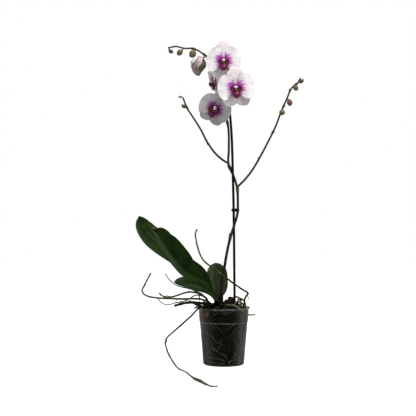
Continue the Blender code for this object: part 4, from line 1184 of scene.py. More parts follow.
def lip_skin(settings):
    """Maroon lip with darker veins and a purple edge."""
    recipe = Recipe("lip", 0.38)
    veins = recipe.streaks(34.0, 2.0)
    body = recipe.mix(recipe.span(veins, 0.4, 0.7, 0.0, 0.35), settings.lip, settings.blotch_deep)
    body = recipe.mix(recipe.span(recipe.away(), 0.36, 0.5, 0.0, 0.25), body, settings.blotch)
    recipe.skin(body, 0.25, veins, 0.0003, 0.6)


def make_finishes():
    """Every finish of the plant and its pot."""
    scene = bpy.context.scene
    pot, greens, flowers = scene.orchid_pot, scene.orchid_greens, scene.orchid_flowers
    clear_plastic("clear_plastic", pot.plastic, 1.0 - pot.clearness)
    clear_plastic("clear_edge", pot.edge, 0.45)
    clear_plastic("clear_foot", pot.foot, 2.2)
    bark("bark", pot.bark_wet_and_shaded, pot.bark_light)
    bark("red_bark", pot.bark_wet_and_shaded, pot.red_bark)
    support_plastic(pot)

    brown_patch = ((-0.1610, 0.3060), 0.0052, greens.leaf_scar)
    yellow_patch = ((-0.0375, 0.2140), 0.0075, greens.leaf_yellow)
    low_scar = ((-0.0240, 0.2000), 0.0028, greens.leaf_scar)
    leaf_upper(greens, "leaf_plain", [])
    leaf_upper(greens, "leaf_painted_sheen", [], 0.8)
    leaf_upper(greens, "leaf_scarred", [brown_patch])
    leaf_upper(greens, "leaf_yellowed", [yellow_patch, low_scar], paleness=0.40)
    leaf_lower(greens)
    stem_skin(greens)

    grey, green, brown, inside = greens.root_grey, greens.root_green, greens.root_brown, greens.root_inside
    root_skin(greens, "root_grey", grey, green, green, 0.30)
    root_skin(greens, "root_trail", grey, green, grey, 0.30, 0.8)
    root_skin(greens, "root_gloomy", grey, green, green, 0.16, 0.3)
    root_skin(greens, "root_green", green, greens.leaf_light, greens.stalk, 0.12)
    root_skin(greens, "root_brown", brown, greens.root_dark, brown, 0.28)
    root_skin(greens, "root_wall", inside, green, inside, 0.26)
    root_skin(greens, "root_shaded", green, greens.root_dark, green, 0.26)

    for name in ("bud_olive", "bud_brown", "bud_pink"):
        bud_skin(greens, name, getattr(greens, name))
    # The second pair of copies is darkened as painted shade for the lowest flower.
    for ending, shade in (("", 1.0), ("_painted_shade", flowers.painted_shade_brightness)):
        petal_front(flowers, "petal" + ending, flowers.blotch_reach, flowers.petal, shade)
        petal_front(flowers, "sepal" + ending, 0.55 * flowers.blotch_reach, flowers.sepal, shade)
    petal_rear(flowers, greens.stalk)
    lip_skin(flowers)

    plain_skin("stalk", greens.stalk, greens.stem_high, 0.55)
    plain_skin("bract", greens.bract, greens.root_dark, 0.75)
    plain_skin("dead_root", greens.root_dark, greens.bract, 0.85, 300.0, 0.0005)
    plain_skin("dry_leaf", greens.dry_leaf, greens.root_dark, 0.7, 160.0, 0.0006)
    plain_skin("petal_plain", flowers.petal, flowers.vein, 0.5, 90.0)
    plain_skin("petal_flush", flowers.petal_back, flowers.cup_shade, 0.5, 90.0)
    plain_skin("bud_cup", flowers.cup, flowers.cup_shade, 0.55, 70.0)
    plain_skin("callus", flowers.callus, flowers.lip, 0.4, 600.0)
    plain_skin("column", flowers.column, flowers.vein, 0.45, 200.0)


def finishes(*names):
    """Finishes by name, all made the first time that one is asked for."""
    if "fine_column" not in bpy.data.materials:
        make_finishes()
    return [bpy.data.materials[f"fine_{name}"] for name in names]


# ---------------------------------------------------------------- pot, filling and support


def straight(table, position):
    """The value at a position of a table of (position, value) rows, on straight runs between the rows."""
    for (start, low), (end, high) in zip(table, table[1:]):
        if position <= end:
            return low + (high - low) * (position - start) / (end - start)
    return table[-1][1]


def pot_radius(height):
    """Outer radius of the pot's wall at a height, below its flange."""
    stations = [
        (0.0, POT_FOOT_RADIUS - 0.003),
        (0.004, POT_FOOT_RADIUS),
        (POT_STEP_HEIGHT, POT_STEP_RADIUS),
        (POT_STEP_HEIGHT + 0.003, POT_STEP_RADIUS + 0.0012),
        (POT_HEIGHT, POT_RIM_RADIUS),
    ]
    return straight(stations, height)


def round_ring(radius, height, sides, centre=(0.0, 0.0)):
    ring = []
    for i in range(sides):
        angle = 2 * math.pi * i / sides
        x, y = centre[0] + radius * math.cos(angle), centre[1] + radius * math.sin(angle)
        ring.append(Vector((x, y, height)))
    return ring


def make_pot():
    settings = bpy.context.scene.orchid_pot
    wall = settings.wall
    heights = [0.004 + 0.013 * i for i in range(7)] + [POT_STEP_HEIGHT, POT_STEP_HEIGHT + 0.0015]
    heights += [POT_STEP_HEIGHT + 0.003, POT_STEP_HEIGHT + 0.012, POT_HEIGHT - POT_FLANGE_HEIGHT]
    inside = [(pot_radius(height) - wall, height) for height in heights]
    outside = [(pot_radius(height), height) for height in reversed(heights)]
    lip = POT_FLANGE_RADIUS - 0.0012
    top = pot_radius(POT_HEIGHT)
    flange = [(top - wall, POT_HEIGHT - 0.0004), (top - 0.5 * wall, POT_HEIGHT)]
    for i in range(7):
        turn = math.pi * (0.5 - i / 6)
        flange.append((lip + 0.0012 * math.cos(turn), POT_HEIGHT - 0.0012 + 0.0012 * math.sin(turn)))
    flange += [(lip - 0.0005, POT_HEIGHT - POT_FLANGE_HEIGHT), (lip - 0.0011, POT_HEIGHT - 0.0024)]
    profile = [(pot_radius(0.0022) - wall, 0.0022)] + inside + flange + outside
    profile += [(POT_FOOT_RADIUS - 0.0008, 0.0014), (POT_FOOT_RADIUS - 0.003, 0.0)]
    profile += [(POT_FOOT_RADIUS - 0.0065, 0.0), (POT_FOOT_RADIUS - 0.0075, 0.0010)]
    rings = [round_ring(radius, height, settings.sides) for radius, height in profile]
    first_lip = len(inside)

    def slot_of(i):
        height = 0.5 * (profile[i][1] + profile[i + 1][1])
        in_step = POT_STEP_HEIGHT < height < POT_STEP_HEIGHT + 0.003
        if height < 0.003:
            return 2
        return int(first_lip <= i <= first_lip + len(flange) or in_step)

    shape = Shape()
    shape.loft(rings, slot_of=slot_of)
    looks = finishes("clear_plastic", "clear_edge", "clear_foot")
    pot = shape.piece("fine_pot", looks, "clear_pot", "pot", crease=40.0)
    cutters = []
    for i in range(DRAIN_HOLES):
        bearing = 2 * math.pi * i / DRAIN_HOLES
        centre = (DRAIN_RING_RADIUS * math.cos(bearing), DRAIN_RING_RADIUS * math.sin(bearing))
        tool = Shape()
        tool.loft([round_ring(DRAIN_RADIUS, -0.002, 32, centre), round_ring(DRAIN_RADIUS, 0.005, 32, centre)])
        cutter = tool.piece(f"drain_cutter_{i}", [], "clear_pot")
        step = pot.modifiers.new("drain", "BOOLEAN")
        step.solver = "EXACT"
        step.object = cutter
        cutters.append(cutter)
    bpy.context.view_layer.update()
    cut = bpy.data.meshes.new_from_object(pot.evaluated_get(bpy.context.evaluated_depsgraph_get()))
    pot.modifiers.clear()
    pot.data = cut
    for cutter in cutters:
        bpy.data.objects.remove(cutter, do_unlink=True)


def mound_height(reach):
    """Height of the filling at a distance from the pot's axis, before its chips."""
    shares = [(0.0, 1.0), (0.34, 0.96), (0.62, 0.78), (0.86, 0.40), (1.0, 0.0)]
    rise = BARK_TOP_HEIGHT - BARK_EDGE_HEIGHT
    return BARK_EDGE_HEIGHT + rise * straight(shares, min(1.0, reach / pot_radius(BARK_EDGE_HEIGHT)))


def flake(rng, size, roundness=0.5):
    """Loose corners of a broken flake of bark, round its own middle."""
    corners = []
    for i in range(13):
        angle = 2 * math.pi * (i + rng.uniform(-0.35, 0.35)) / 13
        reach = rng.uniform(0.75, 1.0)
        level = rng.choice((-0.5, 0.5)) * rng.uniform(0.6, 1.0)
        for share, lift in ((reach, level), (reach * roundness, -level)):
            x, y = 0.5 * size[0] * share * math.cos(angle), 0.5 * size[1] * share * math.sin(angle)
            corners.append(Vector((x, y, lift * size[2])))
    return corners


def wall_route(stations, radius):
    """A route round the inside of the pot's wall through (bearing, height) stations."""
    route = []
    for bearing, height in stations:
        reach = pot_radius(height) - POT_WALL - WALL_ROOT_SPACE - radius
        angle = math.radians(bearing)
        route.append((reach * math.cos(angle), reach * math.sin(angle), height))
    return route


def make_filling():
    """One packed filling: a dark core, chips laid flat against the wall and loose chips on the mound."""
    settings = bpy.context.scene.orchid_pot
    rng = random.Random(7)
    shape = Shape()
    core = [(pot_radius(0.006) - 0.0037, 0.0026)]
    core += [(pot_radius(height) - 0.0032, height) for height in (0.008, 0.05, 0.094, 0.114)]
    core += [(0.045, 0.121), (0.034, 0.127), (0.020, 0.131), (0.004, 0.132)]
    # The core's low tone keeps it darker than the chips: painted shade in the gaps between them.
    shape.loft([round_ring(radius, height, 48) for radius, height in core], 0, 0.1)
    paths = []
    for stations, radius in list(WALL_ROOTS.values()) + EXTRA_WALL_ROOTS:
        paths += smooth_route(wall_route(stations, radius), 4)
    for _ in range(settings.wall_chips):
        height = rng.uniform(0.006, 0.117)
        bearing = rng.uniform(0, 2 * math.pi)
        size = (rng.uniform(0.008, 0.019), rng.uniform(0.005, 0.012), rng.uniform(0.0025, 0.0045))
        outward = Vector((math.cos(bearing), math.sin(bearing), 0.0))
        middle = outward * (pot_radius(height) - 0.0042) + Vector((0, 0, height))
        room = min((middle - point).length for point in paths)
        inset = 0.0048 if room < 0.5 * size[0] + 0.003 else 0.0
        turn = Matrix.Rotation(rng.uniform(0, math.pi), 4, "Z")
        lean = Matrix.Rotation(rng.uniform(-0.25, 0.25), 4, "X")
        facing = outward.to_track_quat("Z", "Y").to_matrix().to_4x4()
        place = Matrix.Translation(middle) @ facing @ lean @ turn
        corners = []
        for corner in flake(rng, size):
            point = place @ corner
            point.z = min(max(point.z, 0.0032), 0.1255)
            limit = pot_radius(point.z) - POT_WALL - 0.0004 - inset
            reach = math.hypot(point.x, point.y)
            if reach > limit:
                point.x *= limit / reach
                point.y *= limit / reach
            corners.append(point)
        shape.wrap(corners, 0, rng.uniform(0.0, 1.0) ** 2.2)
    for _ in range(settings.mound_chips):
        reach = 0.0475 * math.sqrt(rng.uniform(0.0, 1.0))
        bearing = rng.uniform(0, 2 * math.pi)
        size = (rng.uniform(0.009, 0.020), rng.uniform(0.006, 0.012), rng.uniform(0.003, 0.006))
        middle = Vector((reach * math.cos(bearing), reach * math.sin(bearing), mound_height(reach) - 0.0015))
        place = Matrix.Translation(middle) @ Matrix.Rotation(rng.uniform(0, 2 * math.pi), 4, "Z")
        place = place @ Matrix.Rotation(rng.uniform(-0.5, 0.5), 4, "X")
        place = place @ Matrix.Rotation(rng.uniform(-0.4, 0.4), 4, "Y")
        shape.wrap([place @ corner for corner in flake(rng, size)], 0, rng.uniform(0.0, 1.0) ** 1.3)
    shape.piece("fine_bark_mix", finishes("bark"), "bark", "bark_mix", crease=25.0)


def make_loose_chips():
    """The three larger chunks: a broken body with thinner flakes split off along its layers."""
    rng = random.Random(11)
    for name, (middle, size, turn) in CHIPS.items():
        angles = [math.radians(value) for value in turn]
        place = Matrix.Translation(Vector(middle)) @ Matrix.Rotation(angles[2], 4, "Z")
        place = place @ Matrix.Rotation(angles[1], 4, "Y") @ Matrix.Rotation(angles[0], 4, "X")
        shape = Shape()
        shape.wrap([place @ corner for corner in flake(rng, [0.92 * side for side in size], 0.8)], 0, 0.6)
        for i in range(7):
            shift = Vector([side * rng.uniform(-0.26, 0.26) for side in size])
            part = [0.55 * size[0], 0.62 * size[1], 0.40 * size[2]]
            lean = Matrix.Rotation(rng.uniform(-0.5, 0.5), 4, "Y")
            shape.wrap([place @ (shift + lean @ corner) for corner in flake(rng, part)], 0, 0.15 * i)
        finish = "red_bark" if name == "bark_chip_red" else "bark"
        shape.piece(f"fine_{name}", finishes(finish), finish, name, crease=25.0)


def make_support():
    """The stake, with a pointed foot and a rounded top, and the clip that ties the stem to it."""
    shape = Shape()
    points = smooth_route(STAKE_ROUTE, 16)
    radii = []
    for along in distances(points):
        point_share = min(1.0, 0.25 + 40 * along)
        radii.append(STAKE_RADIUS * min(point_share, math.sqrt(max(0.05, min(1.0, (1.004 - along) / 0.006)))))
    shape.loft(tube_rings(points, radii, 16, lambda along, angle: 1 + 0.03 * math.cos(4 * angle)))
    shape.piece("fine_stake", finishes("black_plastic"), "black_plastic", "stake", crease=60.0)

    stake = Vector((*CLIP_STAKE_POINT, 0))
    stem = Vector((*CLIP_STEM_POINT, 0))
    along = (stem - stake).normalized()
    across = Vector((-along.y, along.x, 0))
    outline = []
    for centre, turn in ((stem, -90), (stake, 90)):
        for i in range(13):
            angle = math.radians(turn + 15 * i)
            outline.append((centre, math.cos(angle) * along + math.sin(angle) * across))
    band = []
    half = CLIP_HEIGHT / 2
    edges = ((-0.0008, -half), (0.0, -0.8 * half), (0.0, 0.8 * half), (-0.0008, half), (-0.0009, 0.0))
    for reach, level in edges:
        band.append((CLIP_BAND + reach, CLIP_MIDDLE_HEIGHT + level))
    rings = []
    for centre, way in outline:
        rings.append([centre + way * reach + Vector((0, 0, level)) for reach, level in band])
    shape = Shape()
    shape.loft(rings, closed=True)
    tab = stake - along * CLIP_BAND + Vector((0, 0, CLIP_MIDDLE_HEIGHT))
    knob(shape, tab, 0.0011 * across, Vector((0, 0, 0.0028)), 0.0016 * along)
    shape.piece("fine_stem_clip", finishes("black_plastic"), "black_plastic", "stem_clip")


# ---------------------------------------------------------------- stems


def stem_radius(name, along):
    """A stem thins towards its tip and swells a little at each joint."""
    start, end = STEMS[name][1:]
    swell = sum(bell(along - joint, 0.008) for joint in STEM_JOINTS[name])
    return start + (end - start) * along + 0.0007 * swell


def bract(shape, points, radii, share, bearing, size, slot):
    """A small dry scale that clasps a stem at a joint."""
    alongs = distances(points)
    start = min(range(len(points)), key=lambda i: abs(alongs[i] - share))
    frames = tube_frames(points)
    way = directions(points)[start]
    across, upward = frames[start]
    rows = []
    for i in range(9):
        u = i / 8
        spread = math.radians(112) * (1 - u) ** 0.7
        reach = radii[start] + 0.0004 + 0.0011 * u * u
        row = []
        for j in range(9):
            angle = math.radians(bearing) + spread * (j / 4 - 1)
            out = math.cos(angle) * across + math.sin(angle) * upward
            base = points[start] + way * (size * u)
            row.append((base + out * (reach + 0.0002), base + out * (reach - 0.0001)))
        rows.append(row)
    shape.sheet(rows, (slot, slot))


def make_crown():
    """The short stem: the folded bases of the leaves clasp it one above the other."""

    def folds(along, angle):
        sheath = 0.10 * math.sin(5.0 * math.pi * along + (0.9 if math.cos(angle) > 0 else 0.0))
        return 1 + sheath + 0.05 * math.cos(2 * angle) + 0.02 * math.sin(9 * angle)

    points = smooth_route(CROWN_ROUTE, 8)
    table = radius_table(CROWN_ROUTE, CROWN_RADII)
    radii = [eased(table, along) for along in distances(points)]
    shape = Shape()
    shape.loft(tube_rings(points, radii, 40, folds))
    shape.piece("fine_crown", finishes("leaf_plain"), "leaf", "crown", crease=60.0)


def make_stem(name):
    """A flower stem with its joints and bracts; the main one also carries the flower stalks."""
    route = STEMS[name][0]
    points = smooth_route(route, 7)
    radii = [stem_radius(name, along) for along in distances(points)]
    tip = points[-1] + directions(points)[-1] * (0.7 * radii[-1])
    shape = Shape()
    ends = radii + [0.4 * radii[-1]]
    shape.loft(tube_rings(points + [tip], ends, 18, lambda u, a: 1 + 0.02 * math.cos(5 * a)))
    for i, joint in enumerate(STEM_JOINTS[name]):
        size = 0.013 if joint < 0.5 and name == "flower_spike" else 0.005
        bract(shape, points, radii, joint, 137 * i, size, 1)
    if name == "flower_spike":
        for stalk_route in PEDICELS.values():
            line = smooth_route(stalk_route, 8)
            widths = [0.0014 + 0.0006 * along for along in distances(line)]
            shape.loft(tube_rings(line, widths, 14, lambda u, a: 1 + 0.06 * math.cos(3 * a)), 2)
    shape.piece(f"fine_{name}", finishes("stem", "bract", "stalk"), "stem", name, crease=60.0)


# ---------------------------------------------------------------- leaves


def make_leaf(name):
    """A thick strap of a leaf, channelled above, keeled below, with slightly waved edges."""
    midrib, half_width, thickness, fold, facing_start, facing_end = LEAVES[name]
    line = smooth_route(midrib, 12)
    alongs = distances(line)
    ways = directions(line)
    seed = 3.0 * len(name) + half_width * 1000
    rows = []
    for row in range(LEAF_ROWS + 1):
        share = 1 - (1 - row / LEAF_ROWS) ** 1.35
        point, way = at(line, alongs, share), at(ways, alongs, share)
        facing = Vector(facing_start).lerp(Vector(facing_end), share)
        normal = (facing - facing.dot(way) * way).normalized()
        side = way.cross(normal).normalized()
        width = half_width * max(0.03, eased(LEAF_SHAPE, share))
        across = []
        for column in range(LEAF_COLUMNS + 1):
            v = 2 * column / LEAF_COLUMNS - 1
            channel = fold * width * (math.sqrt(v * v + 0.01) - 0.05)
            arch = 0.05 * width * math.sin(math.pi * min(1.0, abs(v)))
            wave = 0.0011 * abs(v) ** 3 * math.sin(17 * share + seed + (2.0 if v > 0 else 0.0))
            middle = point + side * (v * width) + normal * (channel + arch + wave)
            middle += normal * (0.0006 * rough(middle, 45.0, seed))
            half = 0.5 * thickness * (1 - 0.68 * abs(v) ** 1.6) * (1 - 0.45 * share)
            keel = 0.0011 * bell(v, 0.10) * (1 - 0.7 * share)
            across.append((middle + normal * half, middle - normal * (half + keel)))
        rows.append(across)
    shape = Shape()
    shape.sheet(rows)
    shape.piece(f"fine_{name}", finishes(LEAF_FINISHES[name], "leaf_under"), "leaf", name)


def make_scrap():
    """A dead, curled scrap of leaf that hangs over the rim."""
    points = smooth_route(SCRAP_POINTS, 7)
    outward = Vector((-0.45, -0.65, 0.60)).normalized()
    alongs = distances(points)
    rows = []
    for point, along in zip(points, alongs):
        row = []
        for j in range(11):
            v = j / 5 - 1
            ragged = 0.85 + 0.35 * math.sin(3.1 * along * math.pi + 0.6) + 0.10 * math.sin(23 * along)
            middle = point + v * ragged * Vector(SCRAP_SIDE)
            middle += outward * (0.0007 * math.cos(4 * v) + 0.0005 * rough(middle, 320.0, 2.0))
            row.append((middle + 0.00035 * outward, middle - 0.00035 * outward))
        rows.append(row)
    shape = Shape()
    shape.sheet(rows, (0, 0))
    shape.piece("fine_dry_leaf_scrap", finishes("dry_leaf"), "dry_leaf", "dry_leaf_scrap")


# ---------------------------------------------------------------- roots


def root_loft(shape, route, start_radius, tip_radius, seed, steps=5, slot=0, swelling=(0.5, 1.0, 0.0)):
    """A root of uneven thickness with a rounded tip, which keeps to its route within about a millimetre."""
    points = smooth_route(route, steps)
    alongs = distances(points)
    moved = []
    radii = []
    for point, along in zip(points, alongs):
        sway = Vector((rough(point, 60.0, seed), rough(point, 60.0, seed + 5), rough(point, 60.0, seed + 9)))
        radius = start_radius + (tip_radius - start_radius) * along
        radius *= 1 + swelling[2] * bell(along - swelling[0], swelling[1])
        radii.append(radius * (1 + 0.14 * rough(point, 110.0, seed + 3)))
        lifted = point + 0.0007 * sway
        lifted.z = max(lifted.z, min(point.z, radius + 0.0002))
        moved.append(lifted)
    way = directions(moved)[-1]
    for reach, share in ((0.5, 0.86), (0.85, 0.52), (1.0, 0.15)):
        moved.append(moved[len(points) - 1] + way * (reach * tip_radius))
        radii.append(share * tip_radius)
    shape.loft(tube_rings(moved, radii, 12, lambda u, a: 1 + 0.05 * math.sin(2 * a + 40 * u)), slot)


def rootlet(shape, base, way, size, radius, seed, slot=0):
    """A short side root that bends away from the root it grows on."""
    start = Vector(base)
    lean = Vector(way).normalized()
    bend = Vector((0.25 * math.sin(seed), 0.2 * math.cos(seed), -0.35))
    route = [start, start + 0.4 * size * lean]
    route += [start + 0.75 * size * (lean + 0.3 * bend), start + size * (lean + 0.6 * bend)]
    root_loft(shape, route, radius, 0.6 * radius, seed, 4, slot)


def make_roots():
    """The ten aerial roots, with the small side roots that grow on some of them."""
    kinds = {
        "root_thick_green": ("root_green", "green_root"),
        "root_long_left": ("root_brown", "brown_root"),
        "root_thin_loop": ("root_brown", "brown_root"),
        "root_trailing": ("root_trail", "grey_root"),
        "root_long_right": ("root_gloomy", "grey_root"),
    }
    for i, (name, (route, start_radius, tip_radius)) in enumerate(ROOTS.items()):
        finish, slot = kinds.get(name, ("root_grey", "grey_root"))
        shape = Shape()
        swelling = SWELLINGS.get(name, (0.5, 1.0, 0.0))
        root_loft(shape, route, start_radius, tip_radius, 4.0 * i + 1, swelling=swelling)
        for base, way, size, radius in ROOTLETS.get(name, []):
            rootlet(shape, base, way, size, radius, 7.0 * i + 100 * size)
        shape.piece(f"fine_{name}", finishes(finish), slot, name, crease=60.0)
    shape = Shape()
    for i, (route, start_radius, tip_radius) in enumerate(RIM_STUBS):
        root_loft(shape, route, start_radius, tip_radius, 50.0 + i)
    shape.piece("dead_root_stubs", finishes("dead_root"), "brown_root", crease=60.0)
    shape = Shape()
    for i, (route, start_radius, tip_radius) in enumerate(RIM_LOOPS):
        root_loft(shape, route, start_radius, tip_radius, 70.0 + i)
    shape.piece("old_root_loops", finishes("root_brown"), "grey_root", crease=60.0)


def rounded_ends(along):
    """Share of a root's full radius that rounds off both of its ends."""
    return math.sqrt(min(1.0, 0.04 + 16 * along)) * math.sqrt(min(1.0, 0.04 + 16 * (1 - along)))


def make_wall_roots():
    """Roots pressed against the inside of the clear wall, and thinner ones beside them."""
    for name, (stations, radius) in WALL_ROOTS.items():
        shape = Shape()
        line = smooth_route(wall_route(stations, radius), 8)
        radii = [radius * (1 - 0.2 * along) * rounded_ends(along) for along in distances(line)]
        shape.loft(tube_rings(line, radii, 12))
        finish = "root_shaded" if name == "wall_root_upper" else "root_wall"
        shape.piece(f"fine_{name}", finishes(finish), "grey_root", name, crease=60.0)
    shape = Shape()
    for stations, radius in EXTRA_WALL_ROOTS:
        line = smooth_route(wall_route(stations, radius), 8)
        radii = [radius * (1 - 0.3 * along) * rounded_ends(along) for along in distances(line)]
        shape.loft(tube_rings(line, radii, 10))
    shape.piece("thin_wall_roots", finishes("root_wall"), "grey_root", crease=60.0)


# ---------------------------------------------------------------- buds and flowers


def bud_radius(along, greatest):
    """A bud's radius along its route: a thin stalk, a neck, a swelling and a blunt tip."""
    if along < BUD_NECK:
        flare = max(0.0, along / BUD_NECK - 0.5) / 0.5
        return PEDICEL_RADIUS + (BUD_NECK_SHARE * greatest - PEDICEL_RADIUS) * flare * flare
    if along < BUD_WIDEST:
        swell = math.sin(0.5 * math.pi * (along - BUD_NECK) / (BUD_WIDEST - BUD_NECK))
        return greatest * (BUD_NECK_SHARE + (1 - BUD_NECK_SHARE) * swell)
    close = math.cos(0.5 * math.pi * (along - BUD_WIDEST) / (1 - BUD_WIDEST))
    return greatest * max(0.05, max(0.0, close) ** 0.6)


def make_bud(name):
    """A closed bud: three sepals meet in shallow seams and a small beak."""

    def seams(along, angle):
        depth = 0.11 * min(1.0, max(0.0, (along - BUD_NECK) / 0.2))
        groove = abs(math.sin(1.5 * angle + 0.4))
        return 1 - depth * bell(groove, 0.30) + 0.03 * math.cos(6 * angle) * depth

    route, greatest = BUDS[name]
    points = smooth_route(route, 11)
    alongs = distances(points)
    radii = [bud_radius(along, greatest) for along in alongs]
    shape = Shape()
    shape.loft(tube_rings(points, radii, 30, seams))
    shape.piece(f"fine_{name}", finishes(BUD_FINISHES.get(name, "bud_olive")), "bud", name, crease=70.0)


def make_opening_bud():
    """A bud that has begun to open: its sepals part over a closed cup, and the lip shows between them."""
    line = smooth_route(OPENING_BUD_ROUTE, 6)
    alongs = distances(line)
    ways = directions(line)
    shares = radius_table(OPENING_BUD_ROUTE, OPENING_BUD_RADII)

    def spot(along, bearing, scale, lift=0.0):
        """The place on the bud at a share of its length and a bearing, and the way out from there."""
        way = at(ways, alongs, along)
        front = (Vector((0, -1, 0)) + way.y * way).normalized()
        out = math.cos(bearing) * front + math.sin(bearing) * front.cross(way)
        reach = scale * max(0.0012, eased(shares, along)) + lift
        return at(line, alongs, along) + out * reach, out

    shape = Shape()
    rings = []
    for i in range(25):
        rings.append([spot(i / 24, 2 * math.pi * j / 28, 0.93)[0] for j in range(28)])
    shape.loft(rings, 2)
    for bearing, half_span, scale, start, end, lift, slot in OPENING_PARTS:
        rows = []
        for i in range(29):
            u = i / 28
            close = eased([(0.0, 0.35), (0.3, 1.0), (0.7, 0.95), (1.0, 0.06)], u)
            row = []
            for j in range(17):
                v = j / 8 - 1
                angle = math.radians(bearing + half_span * v * close)
                rise = lift * v * v * u + 0.0004 * math.sin(7 * u + 3 * v)
                point, out = spot(start + (end - start) * u, angle, scale, rise)
                row.append((point + out * 0.0004, point - out * 0.0003))
            rows.append(row)
        shape.sheet(rows, (slot, 2))
    stalk = smooth_route(PEDICELS["opening_bud"][-2:] + OPENING_BUD_ROUTE[:2], 4)
    shape.loft(tube_rings(stalk, [0.0019] * len(stalk), 12), 4)
    heart, out = spot(0.66, math.radians(-14), 0.97)
    knob(shape, heart, Vector((0.0022, 0, 0.0008)), Vector((-0.0010, 0, 0.0036)), 0.0014 * out, 1)
    looks = finishes("bud_olive", "lip", "bud_cup", "petal_plain", "stalk", "petal_flush")
    shape.piece("fine_opening_bud", looks, "petal", "opening_bud")


def tepal_rows(place, part, ruffle, seed):
    """Rows over one petal or sepal, from its claw to its tip, with waved edges and a groove down it."""
    bearing, size, half_width, offset, bow, tip_bend = TEPALS[part]
    petal = part.endswith("petal")
    upper_side = {"left_petal": 1, "right_petal": -1}.get(part, 0)
    turned = place @ Matrix.Rotation(math.radians(bearing - 90), 4, "Z")
    rows = []
    for row in range(TEPAL_ROWS + 1):
        u = 1 - (1 - row / TEPAL_ROWS) ** 1.5
        across = []
        for column in range(TEPAL_COLUMNS + 1):
            v = 2 * column / TEPAL_COLUMNS - 1
            shape = PETAL_SHAPE if petal else SEPAL_SHAPE
            if upper_side * v > 0:
                shape = PETAL_UPPER_SHAPE
            width = half_width * max(0.03, eased(shape, u))
            edge = abs(v) ** 3 * math.sin(math.pi * min(1.0, 1.2 * u))
            wave = ruffle * edge * math.sin(8.5 * u + seed + (2.4 if v > 0 else 0.0))
            wave += 0.0011 * u * rough(Vector((v * width, u * size, 0.01 * seed)), 75.0, seed)
            cup = (0.0016 if petal else -0.0014) * v * v * math.sin(math.pi * u)
            groove = -0.0006 * bell(v, 0.08) * (1 - u)
            forward = offset + bow * math.sin(math.pi * u) + tip_bend * u * u + wave + cup + groove
            wander = 1 + 0.035 * math.sin(5 * u + seed) * (v if petal else 0.3 * v)
            notch = 0.035 * size * bell(v, 0.12) * u**8 if petal else 0.0
            half = 0.5 * TEPAL_THICKNESS * (1 - 0.55 * v * v) * (1 - 0.4 * u)
            x, y = v * width * wander, TEPAL_BASE_RADIUS + u * size - notch
            across.append((turned @ Vector((x, y, forward + half)), turned @ Vector((x, y, forward - half))))
        rows.append(across)
    return rows


def lip_shape(place):
    """The lip: two rounded side lobes, a broad middle lobe with a pair of tendrils, and a yellow knob."""
    shape = Shape()

    def lobe(table, normal, place_of):
        """A sheet whose rows follow a table, with the thickness of the lip."""
        last = len(table) - 1
        columns = [[(i / last, row[item]) for i, row in enumerate(table)] for item in range(4)]
        rows = []
        for row in range(LIP_FINE_ROWS + 1):
            u = row / LIP_FINE_ROWS
            values = [eased(column, u) for column in columns]
            across = []
            for column in range(LIP_FINE_COLUMNS + 1):
                v = 2 * column / LIP_FINE_COLUMNS - 1
                point = place_of(values, u, v)
                half = 0.5 * LIP_THICKNESS * (1 - 0.5 * v * v)
                across.append((place @ (point + half * normal), place @ (point - half * normal)))
            rows.append(across)
        shape.sheet(rows, (0, 0))

    def middle_place(values, u, v):
        up, forward, half_width, rise = values
        wave = 0.0008 * abs(v) ** 3 * math.sin(9 * u)
        return Vector((v * max(0.0006, half_width), up + rise * v * v, forward - 0.0022 * v * v + wave))

    lobe(LIP_ROWS, Vector((0, 0.5, 0.87)), middle_place)
    for side in (-1, 1):

        def side_place(values, u, v):
            outward, up, forward, half_width = values
            fold = 0.0016 * v * v + 0.0007 * math.sin(6 * u + 4 * v)
            rise = v * max(0.0006, half_width)
            return Vector((side * (outward - 0.0012 * v * v), up + rise, forward + fold))

        lobe(SIDE_LOBE_ROWS, Vector((-0.45 * side, 0.2, 0.87)).normalized(), side_place)
        turned_knob(shape, place, (side * 0.0011, -0.0052, 0.0066), (0.0012, 0.0016, 0.0018), 1)
        tendril = [(side * 0.0006, -0.0205, 0.0074), (side * 0.0022, -0.0228, 0.0082)]
        tendril += [(side * 0.0042, -0.0218, 0.0100), (side * 0.0046, -0.0192, 0.0108)]
        line = smooth_route([place @ Vector(point) for point in tendril], 5)
        shape.loft(tube_rings(line, [0.00045 * (1.1 - along) + 0.0001 for along in distances(line)], 8))
    return shape


def column_shape(place, size):
    """The column: a short blunt arm with a cap over its tip."""
    points = smooth_route([place @ Vector(point) for point in COLUMN_ROUTE], 5)
    alongs = distances(points)
    shares = list(zip([0.0, 0.29, 0.57, 0.82, 1.0], COLUMN_SHARES))
    radii = [size * COLUMN_RADIUS * eased(shares, along) for along in alongs]
    shape = Shape()
    shape.loft(tube_rings(points, radii, 20, lambda u, a: 1 + 0.10 * math.cos(2 * a)))
    turned_knob(shape, place, (0, 0.0008, 0.0098), (0.0022, 0.0020, 0.0016))
    return shape


def make_flower(name):
    """An open flower: three sepals behind, two broad petals, the lip and the column."""
    ruffle = bpy.context.scene.orchid_flowers.ruffle
    place = flower_frame(*FLOWERS[name])
    for i, part in enumerate(TEPALS):
        shape = Shape()
        shape.sheet(tepal_rows(place, part, ruffle, 2.1 * i + 1.3 * len(name)))
        # The dorsal and right sepals take the greyer sepal finish, partly painted shade; the left sepal takes
        # the petal finish.
        front = "sepal" if part in ("dorsal_sepal", "right_sepal") else "petal"
        # The lowest flower takes the copies darkened as painted shade.
        looks = finishes(front + ("_painted_shade" if name == "flower_low" else ""), "petal_back")
        shape.piece(f"fine_{name}_{part}", looks, "petal", f"{name}_{part}", middle=place)
    lip_shape(place).piece(f"fine_{name}_lip", finishes("lip", "callus"), "lip", f"{name}_lip")
    column = column_shape(place, FLOWERS[name][3])
    column.piece(f"fine_{name}_column", finishes("column"), "petal", "flower_spike")


